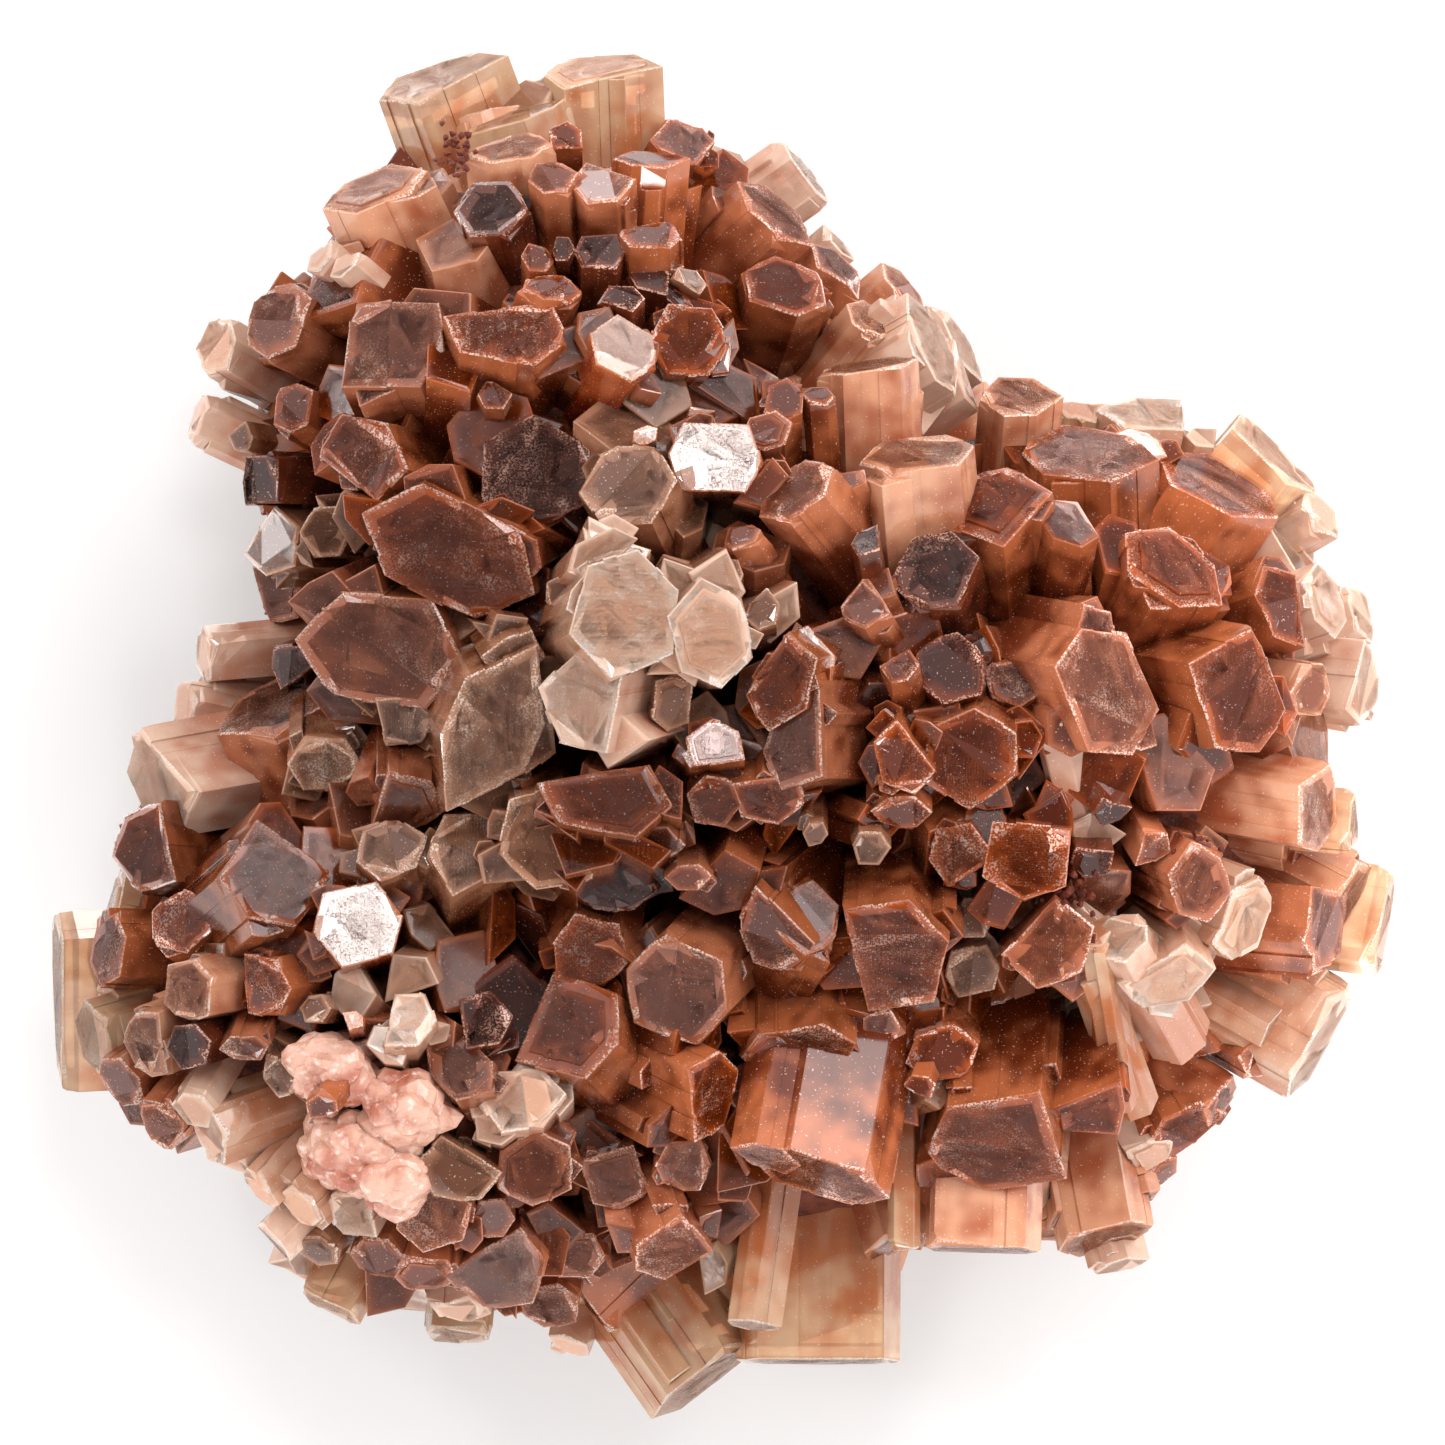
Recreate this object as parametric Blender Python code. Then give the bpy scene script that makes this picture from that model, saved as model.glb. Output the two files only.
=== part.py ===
"""A cluster of aragonite crystals, grown together as one piece and lying on its underside.

X runs to the right of the cluster's best side, Y up across it and Z out of it, in metres.
"""

import math
import random

import bmesh
import bpy
from mathutils import Matrix, Vector

MM = 0.001

# The crystals are laid out on a square grid over the cluster's best side
STEP = 0.06 * MM
MIDDLE_ACROSS = 723.5
MIDDLE_DOWN = 731.7

# Where the crystals radiate from: across and down the grid, then height, reach of the
# crystals on the best side and reach of those on the underside, in mm
LOBES = (
    (560, 420, 22.5, 20, 20.5),
    (1050, 750, 22.5, 20.4, 21),
    (420, 1000, 22.5, 21, 21),
    (800, 1050, 22.5, 19, 20.5),
    (720, 700, 22, 26.5, 21),
)
# The outline of the best side on the grid, which no crystal behind it reaches beyond
OUTLINE = (
    (376, 100), (480, 39), (515, 70), (650, 54), (668, 112), (712, 142), (778, 135), (835, 200),
    (880, 258), (925, 300), (985, 375), (1040, 378), (1150, 397), (1228, 410), (1305, 470),
    (1375, 590), (1388, 700), (1312, 757), (1362, 793), (1361, 852), (1395, 866), (1379, 980),
    (1354, 990), (1296, 1096), (1246, 1080), (1233, 1132), (1177, 1170), (1145, 1265), (1106, 1289),
    (1060, 1256), (927, 1246), (900, 1258), (898, 1365), (740, 1367), (660, 1413), (588, 1349),
    (489, 1335), (400, 1310), (354, 1327), (253, 1253), (268, 1215), (252, 1172), (150, 1148),
    (64, 1086), (49, 1047), (60, 913), (111, 870), (140, 804), (125, 730), (186, 687), (187, 620),
    (237, 560), (232, 480), (182, 440), (207, 388), (190, 350), (252, 290), (325, 240), (376, 160),
)
ROOT_DEPTH = 5.5 * MM
ROOT_SPLITS = 2
ROOT_WANDER = 0.06

LONGEST = 21 * MM
SHORTEST = 11.5 * MM
TAPER = 0.93
CORNER_WANDER = 0.05

# The underside, which has flat-ended crystals standing on the surface at its lowest places
FEET = ((-17, 14, 5.6), (-15, -17, 6.2), (13, -19, 5.4), (20, 3, 6.0), (1, 20, 4.8), (0, -1, 5.0))
FOOT_LENGTH = 16 * MM
FOOT_WIDTH = 0.74
PLAIN_SHOULDER = 0.52
CLEAR_OF_SURFACE = 0.6 * MM
UNDER_COUNT = 20
UNDER_SIZES = (3.2 * MM, 5.4 * MM)
UNDER_FROM = 0.3
GOLDEN_ANGLE = math.pi * (3 - math.sqrt(5))

# Each crystal's flat end: across, down, half length, half width, turn, shoulder,
# the direction it leans to, its lean from straight up, and its lift above the lobe in mm
UPPER_CRYSTALS = (
    (440, 74, 70, 52, 24, 0.55, 110, 70, 0), (603, 66, 58, 42, 2, 0.6, 92, 75, 0),
    (540, 84, 30, 25, 5, 0.5, 100, 72, -1), 
    (510, 147, 42, 26, 5, 0.5, 95, 62, 0), (552, 177, 25, 21, 10, 0.5, 95, 50, 0),
    (603, 181, 31, 28, 0, 0.5, 92, 45, 0), (650, 158, 38, 26, -5, 0.5, 85, 70, 0),
    (652, 235, 32, 24, 0, 0.6, 90, 55, 0), (682, 141, 33, 24, 0, 0.4, 60, 30, 0),
    (490, 208, 36, 32, 60, 0.5, 105, 38, -1), (600, 252, 25, 22, 0, 0.7, 90, 40, -1),
    (655, 277, 30, 18, -10, 0.5, 90, 35, -1), (555, 288, 32, 20, 5, 0.5, 70, 50, 0),
    (505, 328, 62, 36, -12, 0.6, 85, 28, 1), (388, 347, 62, 44, -8, 0.65, 115, 28, 1),
    (277, 317, 40, 34, 78, 0.6, 155, 40, 1), (213, 343, 28, 26, 0, 0.5, 150, 50, 0),
    (375, 187, 50, 38, 26, 0.55, 115, 65, 0), 
     (808, 170, 40, 30, -50, 0.55, 35, 75, 0),
    (775, 212, 44, 30, -42, 0.5, 42, 60, 0), (840, 268, 38, 28, -40, 0.5, 45, 70, 0),
    (905, 285, 34, 24, -50, 0.5, 40, 74, 0), (935, 345, 54, 34, -60, 0.5, 30, 66, 0),
    (785, 286, 44, 30, -25, 0.5, 70, 35, 0), (870, 318, 28, 22, -30, 0.5, 50, 60, 0),
    (625, 350, 38, 28, -25, 0.5, 60, 30, 1), (690, 343, 40, 36, -60, 0.5, 50, 15, 0),
    (360, 462, 54, 38, -10, 0.5, 160, 33, 1), (292, 407, 26, 20, 85, 0.7, 150, 30, 0),
    (193, 415, 28, 24, 66, 0.5, 155, 75, 0), (258, 480, 26, 24, 0, 0.8, 180, 45, 0),
    (325, 532, 28, 24, 60, 0.5, 180, 15, 0), (268, 540, 34, 32, 80, 0.6, 180, 40, 0),
    (270, 592, 34, 30, 80, 0.6, 190, 40, 0), (200, 655, 30, 26, 80, 0.6, 185, 70, 0),
    (290, 668, 26, 22, 10, 0.7, 200, 28, 0), (178, 706, 30, 24, 66, 0.5, 168, 60, 1),
    (960, 340, 42, 26, -60, 0.5, 28, 66, -2),
)
MIDDLE_CRYSTALS = (
    (450, 556, 90, 50, -25, 0.55, 215, 14, 2), (538, 474, 60, 46, -30, 0.5, 90, 10, 0),
    (630, 485, 48, 42, -60, 0.5, 115, 30, 1), (714, 460, 47, 34, -5, 0.65, 90, 5, 1),
    (382, 652, 88, 54, -5, 0.5, 215, 20, 2), (400, 722, 36, 24, 10, 0.5, 270, 20, 0),
    (627, 612, 64, 49, 78, 0.5, 30, 12, 4), (712, 635, 58, 38, -78, 0.5, 0, 10, 2),
    (590, 706, 54, 44, -15, 0.5, 190, 28, 2), (672, 702, 29, 18, 85, 0.7, 300, 15, 0),
    (495, 727, 90, 46, 63, 0.3, 300, 14, 2), (605, 793, 60, 38, -10, 0.6, 90, 14, 2),
    (652, 846, 34, 22, 0, 0.5, 270, 35, 0), (785, 400, 30, 18, 85, 0.6, 90, 40, 0),
    (768, 432, 28, 18, 20, 0.4, 90, 15, 0), (715, 748, 28, 26, -20, 0.5, 90, 12, 1),
    (714, 800, 26, 24, -10, 0.5, 270, 15, 0),
)
RIGHT_CRYSTALS = (
    (868, 366, 48, 30, 5, 0.6, 92, 78, 0), (918, 453, 58, 45, 10, 0.55, 95, 65, 0),
    (1020, 395, 40, 36, 0, 0.4, 85, 60, 0), (1003, 508, 62, 46, -35, 0.5, 95, 42, 2),
    (1085, 453, 66, 54, -8, 0.5, 92, 60, 0), (933, 572, 44, 34, 70, 0.6, 105, 25, 0),
    (795, 492, 42, 28, 35, 0.5, 130, 45, 0), (865, 602, 28, 24, 30, 0.5, 120, 30, 0),
    (868, 540, 25, 15, 70, 0.5, 100, 50, 0), (808, 656, 32, 19, -40, 0.6, 80, 8, 0),
    (778, 680, 46, 32, 80, 0.5, 200, 20, 1), (800, 735, 56, 34, 68, 0.5, 180, 25, 1),
    (948, 667, 38, 34, 20, 0.5, 100, 18, 0), (1012, 680, 30, 24, -20, 0.5, 90, 20, 0),
    (903, 757, 38, 28, -78, 0.5, 250, 12, 1), (970, 757, 52, 42, 30, 0.5, 260, 14, 2),
    (1105, 690, 70, 44, -65, 0.6, 350, 30, 2), (1155, 412, 52, 36, -5, 0.6, 80, 70, 0),
    (1085, 408, 28, 20, -10, 0.5, 85, 70, 0), (1140, 446, 32, 14, -20, 0.5, 80, 35, 0),
    (1270, 447, 64, 44, -38, 0.6, 50, 75, 0), (1326, 510, 30, 24, -60, 0.5, 30, 62, 0),
    (1172, 568, 60, 34, -38, 0.5, 60, 38, 1), (1285, 605, 42, 30, -65, 0.5, 20, 40, 1),
    (1235, 685, 74, 42, -65, 0.6, 350, 33, 2), (1312, 690, 30, 26, 60, 0.5, 350, 50, 0),
    (1328, 600, 38, 28, -80, 0.5, 20, 60, 0), (1366, 612, 31, 24, -70, 0.5, 15, 70, 0),
    (1366, 685, 40, 32, -85, 0.5, 355, 60, 0), (1028, 853, 51, 40, 85, 0.5, 270, 5, 2),
    (957, 855, 32, 26, 70, 0.5, 260, 15, 1), (1045, 942, 44, 40, 80, 0.5, 280, 10, 2),
    (1199, 884, 42, 30, -75, 0.5, 330, 25, 2), (1163, 977, 48, 36, 10, 0.5, 290, 35, 2),
    (1120, 935, 30, 24, 40, 0.5, 120, 30, 1), (1245, 920, 45, 34, 80, 0.6, 340, 50, 0),
    (1328, 920, 52, 40, 82, 0.55, 355, 62, 1), (1388, 924, 57, 38, 82, 0.7, 352, 80, 0),
    (1356, 822, 33, 28, 88, 0.6, 355, 80, 0), (1318, 805, 50, 40, -80, 0.6, 350, 68, 0),
    (1324, 1043, 60, 40, 61, 0.7, 330, 78, 0), (1270, 1048, 37, 28, 70, 0.5, 330, 42, 1),
    (1190, 1136, 42, 32, 20, 0.5, 300, 45, 0), (1226, 1104, 30, 24, 70, 0.5, 330, 70, 0),
    (1165, 1180, 24, 18, 55, 0.5, 315, 62, -2),
    (900, 812, 28, 18, 0, 0.5, 270, 30, 0), (768, 795, 40, 30, -15, 0.5, 270, 30, 0),
)
BOTTOM_CRYSTALS = (
    (886, 957, 60, 54, 72, 0.55, 265, 24, 3), (775, 930, 46, 34, -70, 0.5, 230, 30, 1),
    (808, 915, 44, 28, 80, 0.5, 60, 30, 0), (972, 972, 28, 24, 10, 0.6, 270, 15, 0),
    (677, 990, 57, 48, -20, 0.55, 225, 28, 2),
    (590, 953, 38, 33, -15, 0.6, 270, 20, 0), (610, 885, 46, 28, -10, 0.5, 270, 25, -2),
    (567, 1025, 56, 44, -18, 0.6, 135, 28, 1), (708, 1095, 48, 34, 80, 0.6, 335, 44, 2),
    (800, 1052, 60, 32, 15, 0.5, 270, 42, 0), (884, 1025, 24, 18, 30, 0.5, 270, 20, 0),
    (942, 1053, 37, 26, 15, 0.5, 270, 15, 0), (820, 1175, 68, 42, -16, 0.6, 260, 66, 2),
    (1008, 1142, 88, 56, 14, 0.5, 265, 40, 2), (819, 1365, 80, 52, 0, 0.8, 270, 86, 0),
    (752, 1326, 30, 24, 20, 0.5, 262, 80, 2), (904, 1250, 16, 16, 0, 0.6, 270, 84, -2),
    (979, 1250, 56, 38, -3, 0.8, 268, 84, 0), (1107, 1242, 50, 36, 15, 0.6, 280, 68, 0),
    (1122, 1272, 30, 22, 20, 0.5, 285, 68, -2), (705, 1382, 62, 46, 36, 0.6, 305, 74, 1),
    (676, 1248, 46, 32, 36, 0.6, 290, 45, 2),
)
LOWER_LEFT_CRYSTALS = (
    (158, 782, 58, 46, -62, 0.55, 190, 60, 2), (325, 765, 34, 24, 0, 0.6, 270, 15, 0),
    (148, 848, 44, 38, -45, 0.6, 175, 32, 0), (278, 872, 58, 44, 55, 0.6, 40, 28, 1),
    (392, 848, 38, 28, 20, 0.5, 90, 20, 1), (475, 855, 50, 36, -60, 0.5, 80, 20, 1),
    (550, 838, 52, 46, 75, 0.5, 270, 8, 2), (402, 803, 42, 30, -15, 0.5, 270, 30, 1),
    (360, 922, 48, 36, 12, 0.5, 130, 8, 1), (105, 950, 40, 36, 80, 0.5, 178, 60, 0),
    (182, 920, 40, 30, -20, 0.5, 150, 35, 0), (190, 990, 32, 28, 80, 0.6, 190, 45, 2),
    (262, 985, 34, 30, 60, 0.5, 190, 35, 0), (55, 1000, 86, 42, 84, 0.8, 183, 82, 0),
    (92, 1040, 38, 30, -80, 0.5, 195, 60, 1), (120, 1082, 30, 26, -40, 0.5, 215, 50, 1),
    (150, 1045, 40, 30, 60, 0.5, 205, 50, 2), (163, 1127, 27, 24, 20, 0.5, 230, 40, 1),
    (196, 1110, 24, 20, 60, 0.5, 240, 50, 1), (210, 1132, 34, 28, 65, 0.6, 200, 66, 0),
    (283, 1072, 26, 22, 80, 0.5, 200, 30, 0), (264, 1192, 26, 20, 40, 0.5, 225, 60, 0),
    (299, 1208, 28, 22, 40, 0.5, 225, 55, 0), (408, 1017, 32, 26, 55, 0.5, 90, 15, 1),
    (460, 1063, 42, 27, -40, 0.5, 120, 18, 0), (480, 1020, 32, 26, 10, 0.5, 90, 15, 0),
    (522, 1097, 42, 28, 5, 0.5, 90, 12, 1), (613, 1175, 40, 28, -75, 0.6, 270, 14, 1),
    (535, 1168, 40, 34, -30, 0.5, 270, 12, 1), (684, 1167, 28, 26, 0, 0.6, 270, 20, 0),
    (461, 1167, 42, 32, -5, 0.5, 270, 10, 1), (433, 1215, 40, 33, 20, 0.5, 250, 18, 1),
    (355, 1213, 36, 24, 5, 0.5, 240, 40, 0), (378, 1257, 27, 24, 0, 0.5, 250, 40, 0),
    (424, 1275, 32, 24, -5, 0.6, 265, 50, 0), (500, 1268, 52, 38, 10, 0.5, 270, 22, 1),
    (577, 1257, 30, 24, 0, 0.5, 280, 20, 0), (550, 1308, 34, 28, 20, 0.5, 270, 40, 0),
    (566, 1350, 24, 18, 30, 0.5, 250, 60, 0), (458, 1338, 34, 26, -2, 0.7, 265, 76, 0),
    (330, 1308, 32, 26, -28, 0.6, 242, 72, 0), (275, 1243, 30, 24, 40, 0.5, 225, 76, 0),
)

# The pale lump of fine crystals at the lower left: across, down, height, half length,
# half width and half depth, all in steps but the height, which is in mm
PALE_LUMP = (
    (334, 1070, 44.5, 42, 36, 70), (365, 1148, 43.5, 68, 48, 80),
    (408, 1108, 45, 38, 36, 70), (396, 1176, 43.5, 30, 30, 60),
)


def clear_scene():
    for obj in list(bpy.data.objects):
        bpy.data.objects.remove(obj)


def crystal_material():
    material = bpy.data.materials.new("red brown aragonite")
    material.use_nodes = True
    shader = material.node_tree.nodes["Principled BSDF"]
    shader.inputs["Base Color"].default_value = (0.30, 0.10, 0.05, 1)
    shader.inputs["Roughness"].default_value = 0.25
    shader.inputs["IOR"].default_value = 1.6
    return material


def on_grid(across, down):
    return (across - MIDDLE_ACROSS) * STEP, (MIDDLE_DOWN - down) * STEP


def lobe_height(x, y):
    """How high the lobes reach at a place, and the height of their widest part outside them."""
    heights = []
    for across, down, middle, reach, _ in LOBES:
        lobe_x, lobe_y = on_grid(across, down)
        away = math.hypot(x - lobe_x, y - lobe_y)
        rise = math.sqrt(max((reach * MM) ** 2 - away**2, 0))
        heights.append(middle * MM + rise)
    return max(heights)


def direction(leans_to, lean):
    leans_to, lean = math.radians(leans_to), math.radians(lean)
    return Vector((
        math.sin(lean) * math.cos(leans_to),
        math.sin(lean) * math.sin(leans_to),
        math.cos(lean),
    ))


def end_corners(half_length, half_width, shoulder, turn, chance):
    """The six corners of a flat end, long across and with a little natural wander."""
    plain = [
        (half_length, 0), (half_length * shoulder, half_width), (-half_length * shoulder, half_width),
        (-half_length, 0), (-half_length * shoulder, -half_width), (half_length * shoulder, -half_width),
    ]
    spin = Matrix.Rotation(math.radians(turn), 3, "Z")
    return [
        spin @ Vector((
            x * (1 + chance.uniform(-CORNER_WANDER, CORNER_WANDER)),
            y * (1 + chance.uniform(-CORNER_WANDER, CORNER_WANDER)),
            0,
        ))
        for x, y in plain
    ]


def add_object(name, bm):
    mesh = bpy.data.meshes.new(name)
    bm.to_mesh(mesh)
    bm.free()
    obj = bpy.data.objects.new(name, mesh)
    bpy.context.scene.collection.objects.link(obj)
    return obj


def crystal(name, place, axis, corners, length):
    """A six-sided prism with its flat end at a place, facing along its axis."""
    bm = bmesh.new()
    cap = bm.faces.new([bm.verts.new(corner) for corner in corners])
    grown = bmesh.ops.extrude_face_region(bm, geom=[cap])
    root = [v for v in grown["geom"] if isinstance(v, bmesh.types.BMVert)]
    bmesh.ops.scale(bm, vec=(TAPER, TAPER, 1), verts=root)
    bmesh.ops.translate(bm, vec=(0, 0, -length), verts=root)
    turned = Vector((0, 0, 1)).rotation_difference(axis).to_matrix().to_4x4()
    bmesh.ops.transform(bm, matrix=Matrix.Translation(place) @ turned, verts=bm.verts)
    bmesh.ops.recalc_face_normals(bm, faces=bm.faces)
    return add_object(name, bm)


def facing_crystals():
    """The crystals of the best side, each where its flat end is seen."""
    chance = random.Random(7)
    made = []
    rows = UPPER_CRYSTALS + MIDDLE_CRYSTALS + RIGHT_CRYSTALS + BOTTOM_CRYSTALS + LOWER_LEFT_CRYSTALS
    for number, row in enumerate(rows):
        across, down, half_length, half_width, turn, shoulder, leans_to, lean, lift = row
        x, y = on_grid(across, down)
        place = Vector((x, y, lobe_height(x, y) + lift * MM))
        corners = end_corners(half_length * STEP, half_width * STEP, shoulder, turn, chance)
        length = min(LONGEST, SHORTEST + 1.6 * half_length * STEP)
        made.append(crystal(f"facing_{number}", place, direction(leans_to, lean), corners, length))
    return made


def under_crystals():
    """The crystals of the hidden side, spread evenly over the lower half of each lobe."""
    chance = random.Random(11)
    made = []
    for lobe, (across, down, middle, _, reach) in enumerate(LOBES):
        x, y = on_grid(across, down)
        centre = Vector((x, y, middle * MM))
        for number in range(UNDER_COUNT):
            drop = UNDER_FROM - (1 + UNDER_FROM) * (number + 0.5) / UNDER_COUNT
            ring = math.sqrt(1 - drop**2)
            angle = GOLDEN_ANGLE * number + lobe
            axis = Vector((ring * math.cos(angle), ring * math.sin(angle), drop))
            place = centre + axis * (reach * MM * chance.uniform(0.9, 1.02))
            size = chance.uniform(*UNDER_SIZES)
            width, turn = size * chance.uniform(0.62, 0.85), chance.uniform(0, 180)
            corners = end_corners(size, width, PLAIN_SHOULDER, turn, chance)
            end = placed(place, axis, corners)
            if buried(place, lobe) or min(point.z for point in end) < CLEAR_OF_SURFACE:
                continue
            if not all(within_outline(point.x, point.y) for point in end):
                continue
            made.append(crystal(f"under_{lobe}_{number}", place, axis, corners, SHORTEST + 1.6 * size))
    for number, (x, y, size) in enumerate(FEET):
        corners = end_corners(size * MM, size * FOOT_WIDTH * MM, PLAIN_SHOULDER, 70 * number, chance)
        place = Vector((x * MM, y * MM, 0))
        made.append(crystal(f"foot_{number}", place, Vector((0, 0, -1)), corners, FOOT_LENGTH))
    return made


def buried(place, lobe):
    """Whether a place is well inside another lobe."""
    for other, (across, down, middle, _, reach) in enumerate(LOBES):
        x, y = on_grid(across, down)
        if other != lobe and (place - Vector((x, y, middle * MM))).length < reach * MM - 3 * MM:
            return True
    return False


def placed(place, axis, corners):
    turned = Vector((0, 0, 1)).rotation_difference(axis).to_matrix()
    return [place + turned @ corner for corner in corners]


def within_outline(x, y):
    """Whether a place is inside the outline, by counting the edges to one side of it."""
    crossings = 0
    points = [on_grid(across, down) for across, down in OUTLINE]
    for (x1, y1), (x2, y2) in zip(points, points[1:] + points[:1]):
        if (y1 > y) != (y2 > y) and x < x1 + (y - y1) * (x2 - x1) / (y2 - y1):
            crossings += 1
    return crossings % 2 == 1


def root_mass():
    """The massive aragonite in which the crystals' roots have grown together."""
    made = []
    chance = random.Random(3)
    for number, (across, down, middle, _, reach) in enumerate(LOBES):
        bm = bmesh.new()
        bmesh.ops.create_icosphere(bm, subdivisions=ROOT_SPLITS, radius=reach * MM - ROOT_DEPTH)
        for vert in bm.verts:
            vert.co *= chance.uniform(1 - ROOT_WANDER, 1 + ROOT_WANDER)
        x, y = on_grid(across, down)
        bmesh.ops.rotate(bm, matrix=Matrix.Rotation(0.4 + number, 3, (1, 2, 3)), verts=bm.verts)
        bmesh.ops.translate(bm, vec=(x, y, middle * MM), verts=bm.verts)
        made.append(add_object(f"root_{number}", bm))
    return made


def pale_lump():
    chance = random.Random(5)
    made = []
    for number, (across, down, height, half_length, half_width, half_depth) in enumerate(PALE_LUMP):
        bm = bmesh.new()
        bmesh.ops.create_icosphere(bm, subdivisions=2, radius=1)
        for vert in bm.verts:
            vert.co *= chance.uniform(0.9, 1.08)
        sizes = (half_length * STEP, half_width * STEP, half_depth * STEP)
        bmesh.ops.scale(bm, vec=sizes, verts=bm.verts)
        x, y = on_grid(across, down)
        bmesh.ops.translate(bm, vec=(x, y, height * MM - sizes[2]), verts=bm.verts)
        made.append(add_object(f"pale_{number}", bm))
    return made


def join(name, base, others):
    """One closed body from a base and everything that has grown into it."""
    joined = bpy.data.collections.new("grown together")
    for obj in others:
        bpy.context.scene.collection.objects.unlink(obj)
        joined.objects.link(obj)
        obj.hide_render = True
        obj.display_type = "WIRE"
    bpy.context.scene.collection.children.link(joined)
    base.name = name
    union = base.modifiers.new("union", "BOOLEAN")
    union.operation = "UNION"
    union.solver = "EXACT"
    union.operand_type = "COLLECTION"
    union.collection = joined
    return base


def main():
    clear_scene()
    roots = root_mass()
    others = roots[1:] + facing_crystals() + under_crystals() + pale_lump()
    cluster = join("aragonite_cluster", roots[0], others)
    cluster.data.materials.append(crystal_material())


main()
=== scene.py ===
"""The look of a cluster of aragonite crystals, grown together as one piece."""

import math
import random

import bmesh
import bpy
from mathutils import Matrix, Vector, noise


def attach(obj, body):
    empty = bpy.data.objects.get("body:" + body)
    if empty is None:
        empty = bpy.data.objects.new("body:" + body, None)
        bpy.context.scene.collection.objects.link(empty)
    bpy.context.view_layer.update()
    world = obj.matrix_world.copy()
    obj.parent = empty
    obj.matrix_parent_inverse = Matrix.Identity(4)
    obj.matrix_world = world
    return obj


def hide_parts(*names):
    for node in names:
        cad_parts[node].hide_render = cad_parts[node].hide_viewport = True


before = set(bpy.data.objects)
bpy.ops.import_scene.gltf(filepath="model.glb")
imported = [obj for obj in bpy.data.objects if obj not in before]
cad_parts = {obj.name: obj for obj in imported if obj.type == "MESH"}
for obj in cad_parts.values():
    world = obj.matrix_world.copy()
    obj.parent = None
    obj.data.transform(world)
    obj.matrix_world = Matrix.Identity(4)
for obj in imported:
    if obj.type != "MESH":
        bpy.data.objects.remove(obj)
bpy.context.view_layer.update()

MM = 0.001

# The crystals are laid out on a square grid over the cluster's best side
STEP = 0.06 * MM
MIDDLE_ACROSS = 723.5
MIDDLE_DOWN = 731.7

# Where the crystals radiate from: across and down the grid, then height, reach of the
# crystals on the best side and reach of those on the underside, in mm
LOBES = (
    (560, 420, 22.5, 20, 20.5),
    (1050, 750, 22.5, 20.4, 21),
    (420, 1000, 22.5, 21, 21),
    (800, 1050, 22.5, 19, 20.5),
    (720, 700, 22, 26.5, 21),
)
# The outline of the best side on the grid, which no crystal behind it reaches beyond
OUTLINE = (
    (376, 100), (480, 39), (515, 70), (650, 54), (668, 112), (712, 142), (778, 135), (835, 200),
    (880, 258), (925, 300), (985, 375), (1040, 378), (1150, 397), (1228, 410), (1305, 470),
    (1375, 590), (1388, 700), (1312, 757), (1362, 793), (1361, 852), (1395, 866), (1379, 980),
    (1354, 990), (1296, 1096), (1246, 1080), (1233, 1132), (1177, 1170), (1145, 1265), (1106, 1289),
    (1060, 1256), (927, 1246), (900, 1258), (898, 1365), (740, 1367), (660, 1413), (588, 1349),
    (489, 1335), (400, 1310), (354, 1327), (253, 1253), (268, 1215), (252, 1172), (150, 1148),
    (64, 1086), (49, 1047), (60, 913), (111, 870), (140, 804), (125, 730), (186, 687), (187, 620),
    (237, 560), (232, 480), (182, 440), (207, 388), (190, 350), (252, 290), (325, 240), (376, 160),
)

# How long a crystal is for the half length of its end, and how far it opens towards its root
LONGEST = 21 * MM
SHORTEST = 11.5 * MM
LENGTH_FOR_END = 1.6
TAPER = 1.02
CORNER_WANDER = 0.05

# The underside, which has flat-ended crystals standing on the surface at its lowest places
FEET = ((-17, 14, 5.6), (-15, -17, 6.2), (13, -19, 5.4), (20, 3, 6.0), (1, 20, 4.8), (0, -1, 5.0))
FOOT_LENGTH = 16 * MM
FOOT_WIDTH = 0.74
PLAIN_SHOULDER = 0.52
CLEAR_OF_SURFACE = 0.6 * MM
UNDER_COUNT = 20
UNDER_SIZES = (3.2 * MM, 5.4 * MM)
UNDER_FROM = 0.3
UNDER_REACH = (0.9, 1.02)
UNDER_WIDTHS = (0.62, 0.85)
UNDER_BURIED = 3
UNDER_KINDS = "rrrmmoodga"
FOOT_KINDS = "rmomro"
FOOT_TURN = 70
HALF_TURN = 180
GOLDEN_ANGLE = math.pi * (3 - math.sqrt(5))

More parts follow.
